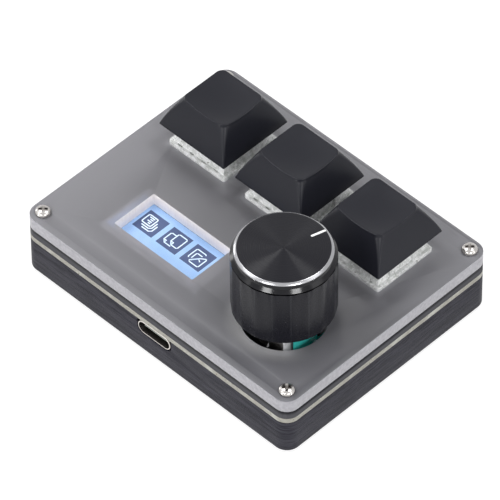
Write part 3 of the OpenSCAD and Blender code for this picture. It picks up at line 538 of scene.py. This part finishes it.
for i in KEYS:
    NODE_FINISH.update({
        f"switch_base_{i}": MILKY, f"switch_housing_{i}": MILKY, f"switch_contacts_{i}": GOLD,
        f"switch_spring_{i}": LID_STEEL, f"stem_{i}": STEM_WHITE, f"keycap_{i}": CAP_BLACK,
    })
for name, finish in NODE_FINISH.items():
    mesh = frame["nodes"][name].data
    mesh.materials.clear()
    mesh.materials.append(finish)


# ---------------------------------------------------------------- mesh helpers

def piece_from(bm, name, body, slot, materials, sharp=35.0):
    """Makes a riding piece of a bmesh in millimetres, shaded smooth but for its sharp edges."""
    bmesh.ops.scale(bm, vec=(MM, MM, MM), verts=bm.verts)
    mesh = bpy.data.meshes.new(name)
    bm.to_mesh(mesh)
    bm.free()
    for material in materials:
        mesh.materials.append(material)
    mesh.shade_smooth()
    mesh.set_sharp_from_angle(angle=math.radians(sharp))
    piece = bpy.data.objects.new(name, mesh)
    bpy.context.scene.collection.objects.link(piece)
    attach(piece, body)
    return piece


def closed(bm):
    """Merges doubles and turns every face outwards."""
    bmesh.ops.remove_doubles(bm, verts=bm.verts, dist=0.0005)
    bmesh.ops.recalc_face_normals(bm, faces=bm.faces)
    return bm


def arc(x, y, r, start, end, steps):
    """Points on an arc, with angles in degrees."""
    angles = (math.radians(start + (end - start) * s / steps) for s in range(steps + 1))
    return [(x + r * math.cos(a), y + r * math.sin(a)) for a in angles]


def rounded(x, y, w, d, r, steps=8):
    """Outline of a rectangle with round corners."""
    points = []
    for sx, sy, start in ((1, 1, 0), (-1, 1, 90), (-1, -1, 180), (1, -1, 270)):
        points += arc(x + sx * (w / 2 - r), y + sy * (d / 2 - r), r, start, start + 90, steps)
    return points


def ring(x, y, r, steps):
    """Outline of a circle."""
    return arc(x, y, r, 0, 360 - 360 / steps, steps - 1)


def final_mesh(holders):
    """The first object's mesh with its modifiers applied. All of the objects are then removed."""
    for holder in holders:
        bpy.context.scene.collection.objects.link(holder)
    bpy.context.view_layer.update()
    shown = holders[0].evaluated_get(bpy.context.evaluated_depsgraph_get())
    bm = bmesh.new()
    bm.from_mesh(bpy.data.meshes.new_from_object(shown))
    for holder in holders:
        bpy.data.objects.remove(holder)
    return bm


def sheet_cut(outlines, low, high, ease):
    """A flat sheet with holes, from low to high, with its edges eased. The first outline is the rim."""
    curve = bpy.data.curves.new("outline", "CURVE")
    curve.dimensions, curve.fill_mode = "2D", "BOTH"
    curve.extrude, curve.bevel_depth = (high - low) / 2 - ease, ease
    curve.bevel_resolution, curve.offset = 1, -ease
    for outline in outlines:
        spline = curve.splines.new("POLY")
        spline.points.add(len(outline) - 1)
        for point, (x, y) in zip(spline.points, outline):
            point.co = (x, y, 0, 1)
        spline.use_cyclic_u = True
    bm = final_mesh([bpy.data.objects.new("outline", curve)])
    bmesh.ops.translate(bm, vec=(0, 0, (low + high) / 2), verts=bm.verts)
    return closed(bm)


def spun(profile, x, y, steps):
    """Turns a profile of (radius, height) points once round the upright axis at x, y."""
    bm = bmesh.new()
    verts = [bm.verts.new((r, 0, z)) for r, z in profile]
    edges = [bm.edges.new(pair) for pair in zip(verts, verts[1:])]
    bmesh.ops.spin(bm, geom=verts + edges, cent=(0, 0, 0), axis=(0, 0, 1), angle=2 * math.pi,
                   steps=steps, use_merge=True)
    closed(bm)
    bmesh.ops.translate(bm, vec=(x, y, 0), verts=bm.verts)
    return bm


def eased_copy(node, width, flat=1.0):
    """A merged copy of a CAD node, in millimetres. Faces that turn less than flat degrees are joined, and
    sharp edges are rounded over."""
    corner = math.radians(30)
    bm = bmesh.new()
    bm.from_mesh(frame["nodes"][node].data)
    bmesh.ops.scale(bm, vec=(1 / MM,) * 3, verts=bm.verts)
    bmesh.ops.remove_doubles(bm, verts=bm.verts, dist=0.001)
    bmesh.ops.dissolve_limit(bm, angle_limit=math.radians(flat), verts=bm.verts, edges=bm.edges)
    sharp = [e for e in bm.edges if len(e.link_faces) == 2 and e.calc_face_angle() > corner]
    if width:
        bmesh.ops.bevel(bm, geom=sharp, offset=width, affect="EDGES", segments=2, profile=0.5,
                        clamp_overlap=True, material=-1)
    return bm


def bar(x, y, low, w, d, high):
    """A plain block as a bmesh, used as a blank to work on."""
    bm = bmesh.new()
    bmesh.ops.create_cube(bm, size=1.0)
    bmesh.ops.scale(bm, vec=(w, d, high - low), verts=bm.verts)
    bmesh.ops.translate(bm, vec=(x, y, (low + high) / 2), verts=bm.verts)
    return bm


def take(bm, other):
    """Moves the other bmesh's geometry into bm."""
    mesh = bpy.data.meshes.new("taken")
    other.to_mesh(mesh)
    other.free()
    bm.from_mesh(mesh)
    bpy.data.meshes.remove(mesh)


def carve(bm, cutter):
    """Cuts the cutter's solids out of bm."""
    work, tool = bpy.data.meshes.new("work"), bpy.data.meshes.new("tool")
    bm.to_mesh(work)
    cutter.to_mesh(tool)
    bm.free()
    cutter.free()
    holders = [bpy.data.objects.new(mesh.name, mesh) for mesh in (work, tool)]
    cut = holders[0].modifiers.new("cut", "BOOLEAN")
    cut.object, cut.operation, cut.solver = holders[1], "DIFFERENCE", "EXACT"
    return final_mesh(holders)


# ---------------------------------------------------------------- body

def screw_places():
    """Axes of the four screws."""
    x, y = BODY_W / 2 - SCREW_INSET, BODY_D / 2 - SCREW_INSET
    return [(-x, -y), (-x, y), (x, -y), (x, y)]


def plate_outlines():
    """Rim and holes of the top plate."""
    screw_slack, window_r, switch_r = 0.2, 0.25, 0.3
    outlines = [rounded(0, 0, BODY_W, BODY_D, CORNER_R)]
    outlines += [ring(x, y, SCREW_R + screw_slack, 32) for x, y in screw_places()]
    outlines.append(ring(KNOB_X, KNOB_Y, KNOB_HOLE_R, 96))
    outlines.append(rounded(WINDOW_X, WINDOW_Y, WINDOW_W, WINDOW_D, window_r, 4))
    for i in KEYS:
        x, y, _ = key_place(i)
        outlines.append(rounded(x, y, SWITCH_HOLE, SWITCH_HOLE, switch_r, 4))
    return outlines


def top_plate():
    """Satin sheet with cut edges; the window's edges are polished."""
    ease, margin = 0.08, 0.2
    reach_x, reach_y = WINDOW_W / 2 + margin, WINDOW_D / 2 + margin
    bm = sheet_cut(plate_outlines(), PLATE_LOW.z, PLATE_HIGH.z, ease)
    bm.normal_update()
    for f in bm.faces:
        middle = f.calc_center_median()
        by_window = abs(middle.x - WINDOW_X) < reach_x and abs(middle.y - WINDOW_Y) < reach_y
        if abs(f.normal.z) < 0.5:
            f.material_index = 2 if by_window else 1
    materials = [ACRYLIC, CUT_ACRYLIC, WINDOW_WALL]
    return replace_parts(piece_from(bm, "clear_plate", "base", "plate_clear", materials), "top_plate")


def bottom_case():
    """Printed tray with eased edges."""
    bm = eased_copy("bottom_case", 0.12)
    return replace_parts(piece_from(bm, "printed_case", "base", "case_print", [PRINTED]), "bottom_case")


SCREW_HEAD_R, SCREW_HEAD_H, SCREW_DOME = 1.65, 1.3, 0.7


def screw_profile():
    """Half of a pan screw's outline, from the crown of its head to the tip of its thread."""
    pitch, depth, neck, ease = 0.4, 0.17, 0.6, 0.12
    tip_h, tip_taper = 0.5, 0.35
    crown, foot = TOP + SCREW_HEAD_H, box_mm("corner_screws")[0].z
    profile = [(0, crown)]
    for degrees in range(10, 80, 10):
        a = math.radians(degrees)
        profile.append((SCREW_HEAD_R * math.sin(a), crown - SCREW_DOME * (1 - math.cos(a)) * 1.25))
    profile += [(SCREW_HEAD_R, crown - SCREW_DOME - ease), (SCREW_HEAD_R, TOP + ease)]
    profile += [(SCREW_HEAD_R - ease, TOP), (SCREW_R, TOP)]
    for t in range(int((TOP - neck - foot - neck) / pitch)):
        z = TOP - neck - t * pitch
        profile += [(SCREW_R, z), (SCREW_R - depth, z - pitch / 2)]
    profile += [(SCREW_R, foot + tip_h), (SCREW_R - tip_taper, foot), (0, foot)]
    return profile


def cross_arm(x, y, degrees):
    """One arm of the driver's cross, narrower towards its foot."""
    length, width, foot_length, foot_width = 2.5, 0.7, 0.45, 0.6
    floor_z = TOP + SCREW_HEAD_H * 0.3
    arm = bar(0, 0, 0, length, width, SCREW_HEAD_H)
    for v in arm.verts:
        if v.co.z < SCREW_HEAD_H / 2:
            v.co.x *= foot_length
            v.co.y *= foot_width
    turn = Matrix.Translation((x, y, floor_z)) @ Matrix.Rotation(math.radians(degrees), 4, "Z")
    bmesh.ops.transform(arm, matrix=turn, verts=arm.verts)
    return arm


def corner_screws():
    """Pan heads with a cross recess, over threaded shanks."""
    whole = bmesh.new()
    for x, y in screw_places():
        screw = spun(screw_profile(), x, y, 40)
        for degrees in (45, 135):
            screw = carve(screw, cross_arm(x, y, degrees))
        take(whole, screw)
    piece = piece_from(whole, "pan_screws", "base", "screw_nickel", [NICKEL], 40.0)
    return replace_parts(piece, "corner_screws")


# ---------------------------------------------------------------- keycaps

CAP_BASE, CAP_TOP_W, CAP_TOP_D, CAP_H = 18.2, 12.0, 11.6, 7.4
CAP_DISH, CAP_WALL, CAP_ROOF = 1.1, 1.3, 1.05
CAP_BELLY, CAP_RIM, CAP_FOOT = 0.2, 0.3, 0.12
CAP_BULGE = 0.34                        # of the top's sides, over its corners
CAP_CORNER_IN = 0.35                    # share of the bulge by which the corners go in
CAP_SKIRT_R, CAP_TOP_R = 0.3, 1.5
POST_R = 2.8
POST_FOOT = 6.6                         # above the plate
CAP_SKIRT = POST_FOOT - 0.87            # above the plate
CROSS_L, CROSS_T, CROSS_DEPTH = 4.1, 1.2, 3.65
CROSS_ACROSS = 1.4
CAP_REACH = math.hypot(CAP_TOP_W / 2 - CAP_TOP_R, CAP_TOP_D / 2 - CAP_TOP_R) + CAP_TOP_R
DISH_R = (CAP_REACH ** 2 + CAP_DISH ** 2) / (2 * CAP_DISH)


def dish_height(x, y):
    """Height of the round dish over the skirt."""
    return CAP_H - CAP_DISH + DISH_R - math.sqrt(DISH_R ** 2 - x * x - y * y)


def on_outline(u, v, half_x, half_y, r):
    """Where a point on the rim of the unit square lands on a rectangle with round corners."""
    straight = 0.6
    if abs(u) < abs(v):
        y, x = on_outline(v, u, half_y, half_x, r)
        return x, y
    share = abs(v)
    if share <= straight:
        x, y = half_x, (half_y - r) * share / straight
    else:
        a = (share - straight) / (1 - straight) * math.pi / 4
        x, y = half_x - r + r * math.cos(a), half_y - r + r * math.sin(a)
    return math.copysign(x, u), math.copysign(y, v)


def bulged(a, b, half_a, half_b, bulge):
    """Where a lands when its side bulges: out at the side's middle, a little in at its ends."""
    out = bulge * (1 - (b / half_b) ** 2 - CAP_CORNER_IN)
    return a + math.copysign(1, a) * out * min(abs(a) / half_a, 1.0) ** 4


def cap_point(u, v, t, inset):
    """A point of the keycap's plan: u and v run from -1 to 1, t from the skirt to the rim."""
    swell = 4 * CAP_BELLY * t * (1 - t) - inset
    half_x = CAP_BASE / 2 + (CAP_TOP_W - CAP_BASE) / 2 * t + swell
    half_y = CAP_BASE / 2 + (CAP_TOP_D - CAP_BASE) / 2 * t + swell
    r = max(CAP_SKIRT_R + (CAP_TOP_R - CAP_SKIRT_R) * t * t - inset, 0.2)
    reach = max(abs(u), abs(v))
    if reach == 0:
        return 0.0, 0.0
    x, y = on_outline(u / reach, v / reach, half_x, half_y, r)
    bulge = CAP_BULGE * t * t
    return bulged(x, y, half_x, half_y, bulge) * reach, bulged(y, x, half_y, half_x, bulge) * reach


def pressed(cuts, form):
    """A cube cut in a grid, with every point moved to form(u, v, level)."""
    bm = bmesh.new()
    bmesh.ops.create_cube(bm, size=2.0)
    bmesh.ops.subdivide_edges(bm, edges=bm.edges, cuts=cuts, use_grid_fill=True)
    for v in bm.verts:
        v.co = form(v.co.x, v.co.y, round((v.co.z + 1) / 2 * (cuts + 1)))
    return bm


def cap_outside(levels):
    """Form of the outer skin: eased foot, leaning side, eased rim, dish."""
    foot_steps, rim_steps = 2, 5

    def form(u, v, level):
        rise = max(level - (levels - rim_steps), 0) / rim_steps * math.pi / 2
        toe = max(foot_steps - level, 0) / foot_steps * math.pi / 2
        t = min(max(level - foot_steps, 0) / (levels - rim_steps - foot_steps), 1.0)
        inset = CAP_RIM * (1 - math.cos(rise)) + CAP_FOOT * (1 - math.cos(toe))
        x, y = cap_point(u, v, t, inset)
        if rise > 0:
            return x, y, dish_height(x, y) - CAP_RIM * (1 - math.sin(rise))
        rim_x, rim_y = cap_point(u, v, 1.0, 0.0)
        low = CAP_FOOT * (1 - math.sin(toe))
        return x, y, low + (dish_height(rim_x, rim_y) - CAP_RIM - CAP_FOOT) * t
    return form


def cap_inside(levels):
    """Form of the cavity: leaning sides and a flat roof."""
    height = CAP_H - CAP_DISH - CAP_ROOF

    def form(u, v, level):
        z = height * level / levels
        return *cap_point(u, v, z / CAP_H, CAP_WALL), z
    return form


def skin_without_foot(bm):
    """Removes the faces that lie flat on the skirt's plane."""
    bm.normal_update()
    foot = [f for f in bm.faces if f.normal.z < -0.99 and all(abs(v.co.z) < 1e-6 for v in f.verts)]
    bmesh.ops.delete(bm, geom=foot, context="FACES")
    return bm


def cap_post():
    """Round post with a cross slot for the stem."""
    foot, high = POST_FOOT - CAP_SKIRT, CAP_H - CAP_DISH - CAP_ROOF / 2
    slot_top = foot + CROSS_DEPTH
    post = bmesh.new()
    bmesh.ops.create_cone(post, cap_ends=True, segments=40, radius1=POST_R, radius2=POST_R, depth=1.0)
    bmesh.ops.scale(post, vec=(1, 1, high - foot), verts=post.verts)
    bmesh.ops.translate(post, vec=(0, 0, (high + foot) / 2), verts=post.verts)
    post = carve(post, bar(0, 0, 0, CROSS_L, CROSS_T, slot_top))
    return carve(post, bar(0, 0, 0, CROSS_ACROSS, CROSS_L, slot_top))


def keycap(i):
    """Dished keycap: outer form, cavity, and the post that grips the stem's cross."""
    outside_levels, inside_levels = 28, 10
    cap = skin_without_foot(pressed(outside_levels - 1, cap_outside(outside_levels)))
    cavity = skin_without_foot(pressed(inside_levels - 1, cap_inside(inside_levels)))
    bmesh.ops.reverse_faces(cavity, faces=cavity.faces)
    take(cap, cavity)
    bmesh.ops.bridge_loops(cap, edges=[e for e in cap.edges if e.is_boundary])
    bmesh.ops.recalc_face_normals(cap, faces=cap.faces)
    take(cap, cap_post())
    bmesh.ops.translate(cap, vec=key_place(i) + Vector((0, 0, CAP_SKIRT)), verts=cap.verts)
    piece = piece_from(cap, f"dished_cap_{i}", f"key_{i}", "cap_black", [CAP_BLACK], 50.0)
    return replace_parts(piece, f"keycap_{i}")


# ---------------------------------------------------------------- knob

KNOB_R = (KNOB_HIGH.x - KNOB_LOW.x) / 2
SHOULDER = 0.7                          # slanting edge between grip and band
SHOULDER_Z = KNOB_HIGH.z - 2.0
GRIP_Z = SHOULDER_Z - 0.5               # upper end of the flutes, under a groove
BAND_R = KNOB_R - SHOULDER              # smooth band over the shoulder
BEVEL, BEVEL_DROP = 0.58, 0.46          # bright edge of the face
FACE_R = BAND_R - BEVEL
WALL_R = KNOB_R - 1.6                   # of the cavity


def knob_face():
    """Outline of the top, from its centre out: small pit, lathe rings, bright bevel."""
    top, pitch, depth, pit_r = KNOB_HIGH.z, 0.11, 0.003, 0.2
    pit = [(0, top - 0.05), (0.12, top - 0.05), (0.15, top), (pit_r, top - 0.01)]
    first = FACE_R - 0.05
    rings = [(first - k * pitch, top - depth * (k % 2)) for k in range(int((first - pit_r) / pitch) + 1)]
    bevel = [(FACE_R + BEVEL * s, top - BEVEL_DROP * s ** 1.25) for s in (0.2, 0.4, 0.6, 0.8)]
    foot = [(BAND_R - 0.02, top - BEVEL_DROP), (BAND_R, top - BEVEL_DROP - 0.05)]
    return [*pit, *reversed(rings), (FACE_R, top), *bevel, *foot]


def knob_side():
    """Outline of the side, downwards: band, shoulder, groove, grip with its eased foot."""
    band_z, lip_z, groove_r = SHOULDER_Z + SHOULDER, SHOULDER_Z - 0.06, KNOB_R - 0.6
    foot, steps = KNOB_LOW.z, 6
    points = [(BAND_R, band_z + 0.02), (BAND_R + 0.01, band_z - 0.03), (BAND_R + 0.04, band_z - 0.06)]
    points += [(KNOB_R - 0.05, SHOULDER_Z + 0.03), (KNOB_R - 0.02, SHOULDER_Z)]
    points += [(KNOB_R - 0.02, lip_z + 0.02), (KNOB_R - 0.04, lip_z)]
    points += [(groove_r, lip_z), (groove_r, GRIP_Z), (KNOB_R - 0.06, GRIP_Z), (KNOB_R, GRIP_Z - 0.06)]
    points += [(KNOB_R, GRIP_Z + (foot + 0.6 - GRIP_Z) * k / steps) for k in range(1, steps + 1)]
    return [*points, (KNOB_R - 0.15, foot + 0.15), (KNOB_R - 0.4, foot)]


def knob_cavity():
    """Outline of the inside, from the foot up to the roof's centre."""
    foot, roof, ease = KNOB_LOW.z, KNOB_HIGH.z - 2.0, 0.1
    return [(WALL_R + ease, foot), (WALL_R, foot + ease), (WALL_R, roof), (0, roof)]


def flute(bm):
    """Scoops the flutes out of the grip."""
    for v in bm.verts:
        radius = math.hypot(v.co.x, v.co.y)
        if radius > WALL_R + 0.2 and v.co.z < GRIP_Z + 0.01:
            turn = math.atan2(v.co.y, v.co.x) / (2 * math.pi) * FLUTES - FLUTE_PHASE
            across = 2 * abs(turn - round(turn))
            scoop = FLUTE_DEPTH * (1 + math.cos(math.pi * across)) / 2
            narrower = min(radius, KNOB_R - scoop) / radius
            v.co.x *= narrower
            v.co.y *= narrower


def knob_finish(radius, z):
    """Place of the finish in the knob's list, for a face at that radius and height."""
    top, rim_r = KNOB_HIGH.z, FACE_R + 0.02
    if z > top - BEVEL_DROP and radius > rim_r:
        return 1
    if z > top - 0.1 and radius <= rim_r:
        return 2
    if z > SHOULDER_Z - 0.05 and radius > FACE_R:
        return 3
    if z > GRIP_Z - 0.01 and radius > WALL_R:
        return 4
    return 0


def knob():
    """Turned shell: fluted grip, groove, smooth band, bright bevel and a face with lathe rings."""
    steps_per_flute = 12
    bm = spun(knob_face() + knob_side() + knob_cavity(), 0, 0, FLUTES * steps_per_flute)
    flute(bm)
    for f in bm.faces:
        middle = f.calc_center_median()
        f.material_index = knob_finish(math.hypot(middle.x, middle.y), middle.z)
    bmesh.ops.translate(bm, vec=(KNOB_X, KNOB_Y, 0), verts=bm.verts)
    materials = [GRIP_BLACK, CUT_EDGE, SPUN, BAND_BLACK, GROOVE_BLACK]
    piece = piece_from(bm, "turned_knob", "knob", "knob_black", materials, 30.0)
    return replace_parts(piece, "knob_shell")


def knob_pointer():
    """Line of white paint on the face, from the rim inwards."""
    outer, inner, width, corner_r = 9.25, 6.0, 0.5, 0.2
    low, high = KNOB_HIGH.z - 0.04, KNOB_HIGH.z + 0.012
    angle = math.radians(-106.5)
    bm = bar((outer + inner) / 2, 0, low, outer - inner, width, high)
    upright = [e for e in bm.edges if abs(e.verts[0].co.z - e.verts[1].co.z) > 0.01]
    bmesh.ops.bevel(bm, geom=upright, offset=corner_r, affect="EDGES", segments=4, profile=0.5,
                    material=-1)
    turn = Matrix.Translation((KNOB_X, KNOB_Y, 0)) @ Matrix.Rotation(angle, 4, "Z")
    bmesh.ops.transform(bm, matrix=turn, verts=bm.verts)
    return piece_from(bm, "knob_pointer", "knob", "knob_black", [PAINT])


# ---------------------------------------------------------------- display

def display():
    """Lit panel in the window, with three navy tiles and a line drawing on each."""
    top = box_mm("display_glass")[1].z
    beyond, tile, pitch, half_line, ease = 2.6, 5.35, 6.57, 0.13, 0.002
    middle_x, y = WINDOW_X + 1.0, WINDOW_Y - 1.36
    lit = rounded(WINDOW_X + beyond / 2, WINDOW_Y, WINDOW_W + beyond, WINDOW_D + 0.1, 0.1, 2)
    panel = sheet_cut([lit], top - 0.02, top + 0.01, ease)
    piece_from(panel, "lit_panel", "base", "display_glass", [PANEL_BLUE])
    tiles, lines = bmesh.new(), bmesh.new()
    for place, glyph in ((1, page_glyph), (0, sheets_glyph), (-1, picture_glyph)):
        x = middle_x + place * pitch
        take(tiles, sheet_cut([rounded(x, y, tile, tile, 0.05, 2)], top, top + 0.02, ease))
        for outline in glyph():
            points = [(x + u, y + v) for u, v in outline]
            take(lines, stroke(points, half_line, top + 0.01, top + 0.03))
    piece_from(tiles, "display_tiles", "base", "display_glass", [TILE_NAVY])
    piece_from(lines, "display_icons", "base", "display_glass", [ICON_WHITE])


def end_tape():
    """Black tape under the plate, over the panel's far end and its tail."""
    edge, panel_reach, thick = WINDOW_X + WINDOW_W / 2, 4.7, 0.07
    near, middle, far = edge + 3.3, edge + panel_reach + 0.15, edge + panel_reach + 3.3
    wide, narrow = WINDOW_D / 2 + 1.4, 4.15
    side = [(near, wide), (middle, wide), (middle, narrow), (far, narrow)]
    outline = [(x, WINDOW_Y - y) for x, y in side] + [(x, WINDOW_Y + y) for x, y in reversed(side)]
    tape = sheet_cut([outline], PLATE_LOW.z - thick, PLATE_LOW.z, 0.005)
    piece_from(tape, "end_tape", "base", "spacer_black", [SPACER])


def stroke(points, half, low, high):
    """A flat line of even width along the points."""
    bm = bmesh.new()
    sides = []
    for k, (x, y) in enumerate(points):
        before, after = points[max(k - 1, 0)], points[min(k + 1, len(points) - 1)]
        along = Vector((after[0] - before[0], after[1] - before[1])).normalized()
        across = Vector((-along.y, along.x)) * half
        sides.append([bm.verts.new((x + s * across.x, y + s * across.y, low)) for s in (-1, 1)])
    faces = [bm.faces.new((a[0], b[0], b[1], a[1])) for a, b in zip(sides, sides[1:])]
    lifted = bmesh.ops.extrude_face_region(bm, geom=faces)["geom"]
    verts = [g for g in lifted if isinstance(g, bmesh.types.BMVert)]
    bmesh.ops.translate(bm, vec=(0, 0, high - low), verts=verts)
    bmesh.ops.recalc_face_normals(bm, faces=bm.faces)
    return bm


def page_glyph():
    """A pile of sheets, the top one written on."""
    top = rounded(0.78, -0.51, 2.4, 2.4, 0.3, 3)
    edges = [(1.98, 0.69), (0.1, 0.69), (-0.42, 0.2), (-0.42, -1.4)]
    under = [[(u - d, v + d) for u, v in edges] for d in (0.55, 1.1)]
    writing = [[(u, v), (0.1, v)] for u, v in ((1.45, -1.25), (0.95, -0.8), (1.25, -0.3), (0.75, 0.15))]
    return [[*top, top[0]], *under, *writing]


def sheets_glyph():
    """Two sheets with a turned corner, one over the other."""
    front = [(-0.25, 1.25), (-1.6, 1.25), (-1.85, 1.0), (-1.85, -1.7), (-1.6, -1.9), (0.25, -1.9)]
    front += [(0.5, -1.7), (0.5, 0.5), (-0.25, 1.25)]
    back = [(0.6, -1.2), (1.65, -1.2), (1.9, -1.0), (1.9, 1.0), (1.25, 1.65), (-0.45, 1.65)]
    corners = [[(-0.25, 1.25), (-0.25, 0.5), (0.5, 0.5)], [(1.25, 1.65), (1.25, 1.0), (1.9, 1.0)]]
    return [front, back, *corners]


def picture_glyph():
    """Two frames, one over the other, each with a hill in it."""
    front = [(0.6, 1.85), (-1.5, 1.85), (-1.7, 1.65), (-1.7, -0.6), (-1.45, -0.85)]
    back = [(1.55, 1.15), (1.75, 0.9), (1.75, -1.45), (1.55, -1.65), (-0.6, -1.65), (-0.8, -1.45)]
    inner = [(1.0, 0.85), (1.0, -0.6), (0.8, -0.8), (-0.45, -0.8)]
    hill = [(0.65, 1.3), (-0.3, 0.1), (-1.05, 0.6)]
    link = [(0.6, 1.85), (0.95, 1.55), (-0.4, -0.1), (-1.45, -0.85)]
    return [front, back, inner, hill, link]


# ---------------------------------------------------------------- switches, port, encoder, small parts

def eased_pieces():
    """Nodes that need no more than eased edges, as merged copies."""
    rows = [
        ("main_pcb", "laminate_board", "board", LAMINATE, 0.04),
        ("spacer_frame", "black_spacer", "spacer_black", SPACER, 0.06),
        ("encoder_body", "teal_box", "encoder_teal", TEAL, 0.1),
        ("rubber_feet", "round_feet", "foot_rubber", RUBBER, 0.1),
    ]
    for i in KEYS:
        rows.append((f"switch_base_{i}", f"flanged_base_{i}", "switch_milky", MILKY, 0.12))
        rows.append((f"switch_housing_{i}", f"upper_shell_{i}", "switch_milky", MILKY, 0.12))
    for node, name, slot, material, width in rows:
        piece = piece_from(eased_copy(node, width), name, "base", slot, [material])
        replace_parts(piece, node)


def springs():
    """Springs as merged copies, each with a mesh of its own."""
    rows = [(f"switch_spring_{i}", f"coil_spring_{i}", f"key_{i}_press", KEY_TRAVEL) for i in KEYS]
    rows.append(("push_dome", "sprung_dome", "knob_push", PUSH_TRAVEL))
    for node, name, joint, travel in rows:
        piece = piece_from(eased_copy(node, 0, flat=0.05), name, "base", "steel", [LID_STEEL])
        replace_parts(piece, node)
        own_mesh(piece)


def port_shell():
    """Drawn steel shell; inside and at its inner end it takes a dark metal as painted shade."""
    bm = eased_copy("usb_shell", 0.06)
    low, high = box_mm("usb_shell")
    axis_z = (low.z + high.z) / 2
    reach = (high.x - low.x - (high.z - low.z)) / 2
    bm.normal_update()
    for f in bm.faces:
        middle = f.calc_center_median()
        core = Vector((max(-reach, min(reach, middle.x)), middle.y, axis_z))
        inward = f.normal.dot(core - middle) > 0.2
        inner_end = abs(f.normal.y) > 0.9 and middle.y < low.y + 1
        # Painted shade: inward faces and the inner end take the dark metal.
        f.material_index = 1 if inward or inner_end else 0
    piece = piece_from(bm, "port_shell", "base", "screw_nickel", [SHELL_STEEL, SHELL_SHADE])
    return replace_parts(piece, "usb_shell")


def encoder_lid():
    """Tinned lid; the sides that it bends down over the encoder's ends take a darker metal as painted
    shade.
    """
    bm = eased_copy("encoder_cover", 0.08)
    low, high = box_mm("encoder_body")
    bm.normal_update()
    for f in bm.faces:
        middle = f.calc_center_median()
        over = max(low.y - middle.y, middle.y - high.y)
        # Painted shade on the bent-down sides.
        f.material_index = 1 if abs(f.normal.y) > 0.8 and over > 0.3 else 0
    piece = piece_from(bm, "steel_lid", "base", "steel", [TINNED, LID_SHADE])
    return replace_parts(piece, "encoder_cover")


top_plate()
bottom_case()
corner_screws()
port_shell()
encoder_lid()
for i in KEYS:
    keycap(i)
knob()
knob_pointer()
display()
end_tape()
eased_pieces()
springs()


# ---------------------------------------------------------------- studio

CAMERA_AZIMUTH, CAMERA_ELEVATION, CAMERA_ROLL = 225.05, 47.435, 0.635
CAMERA_AIM = Vector((1.171, 0.486, 9.246))
CAMERA_DISTANCE = 1260.9
LENS, SENSOR = 458.65, 36.0


def outward(azimuth, elevation):
    """Direction from the object to a viewer or lamp at that azimuth and elevation."""
    a, e = math.radians(azimuth), math.radians(elevation)
    return Vector((math.sin(a) * math.cos(e), -math.cos(a) * math.cos(e), math.sin(e)))


def camera():
    """A long lens that looks down on the port side."""
    data = bpy.data.cameras.new("camera")
    data.lens, data.sensor_width, data.clip_start, data.clip_end = LENS, SENSOR, 0.05, 20.0
    holder = bpy.data.objects.new("camera", data)
    bpy.context.scene.collection.objects.link(holder)
    back = outward(CAMERA_AZIMUTH, CAMERA_ELEVATION)
    right = Vector((0, 0, 1)).cross(back).normalized()
    roll = Matrix.Rotation(math.radians(-CAMERA_ROLL), 3, "Z")
    turn = Matrix((right, back.cross(right), back)).transposed() @ roll
    place = (CAMERA_AIM + back * CAMERA_DISTANCE) * MM
    holder.matrix_world = Matrix.Translation(place) @ turn.to_4x4()
    bpy.context.scene.camera = holder


def lamp(name, azimuth, elevation, distance, size, power):
    """A rectangular softbox that faces the object, in metres and watts."""
    data = bpy.data.lights.new(name, "AREA")
    data.shape, data.size, data.size_y, data.energy = "RECTANGLE", size[0], size[1], power
    holder = bpy.data.objects.new(name, data)
    bpy.context.scene.collection.objects.link(holder)
    out = outward(azimuth, elevation)
    turn = out.to_track_quat("Z", "Y").to_matrix().to_4x4()
    holder.matrix_world = Matrix.Translation(out * distance) @ turn


def world():
    """Even pale light; the camera, gloss and clear parts see it white."""
    sky = bpy.data.worlds.new("studio")
    bpy.context.scene.world = sky
    nodes = Nodes(sky, "Background")
    nodes.set({"Color": grey(1.0), "Strength": nodes.seen() * 0.55 + 0.45})


def floor():
    """Wide white ground, lit so that it shows as white as the background."""
    bm = bmesh.new()
    bmesh.ops.create_grid(bm, x_segments=1, y_segments=1, size=3.0)
    mesh = bpy.data.meshes.new("floor")
    bm.to_mesh(mesh)
    bm.free()
    finish = Finish("floor_white", {"Roughness": 0.9, "Specular IOR Level": 0.0})
    seen = finish.seen()
    finish.set({
        "Base Color": finish.mix(seen, grey(0.85), grey(0.30)),
        "Emission Color": grey(1.0), "Emission Strength": seen * 0.80,
    })
    mesh.materials.append(finish.material)
    holder = bpy.data.objects.new("floor", mesh)
    bpy.context.scene.collection.objects.link(holder)


camera()
world()
floor()
lamp("softbox_near", 100, 50, 0.36, (0.36, 0.36), 0.16)
lamp("softbox_left", 144, 40, 0.8, (0.30, 0.30), 0.65)
lamp("softbox_right", 293, 40, 0.8, (0.30, 0.30), 0.5)
lamp("fan_left", 106, 63, 0.8, (0.20, 0.20), 1.5)
lamp("fan_right", 328, 67, 0.8, (0.20, 0.20), 1.5)
lamp("spot_left", 191, 40, 0.7, (0.16, 0.08), 1.0)
lamp("spot_right", 249, 40, 0.7, (0.16, 0.08), 1.0)
lamp("ring_left", 95, 8, 0.7, (0.20, 0.12), 0.4)
lamp("edge_left", 168, 5, 0.7, (0.05, 0.10), 0.7)
lamp("edge_right", 282, 5, 0.7, (0.05, 0.10), 0.5)
bpy.context.scene.view_settings.view_transform = "Standard"
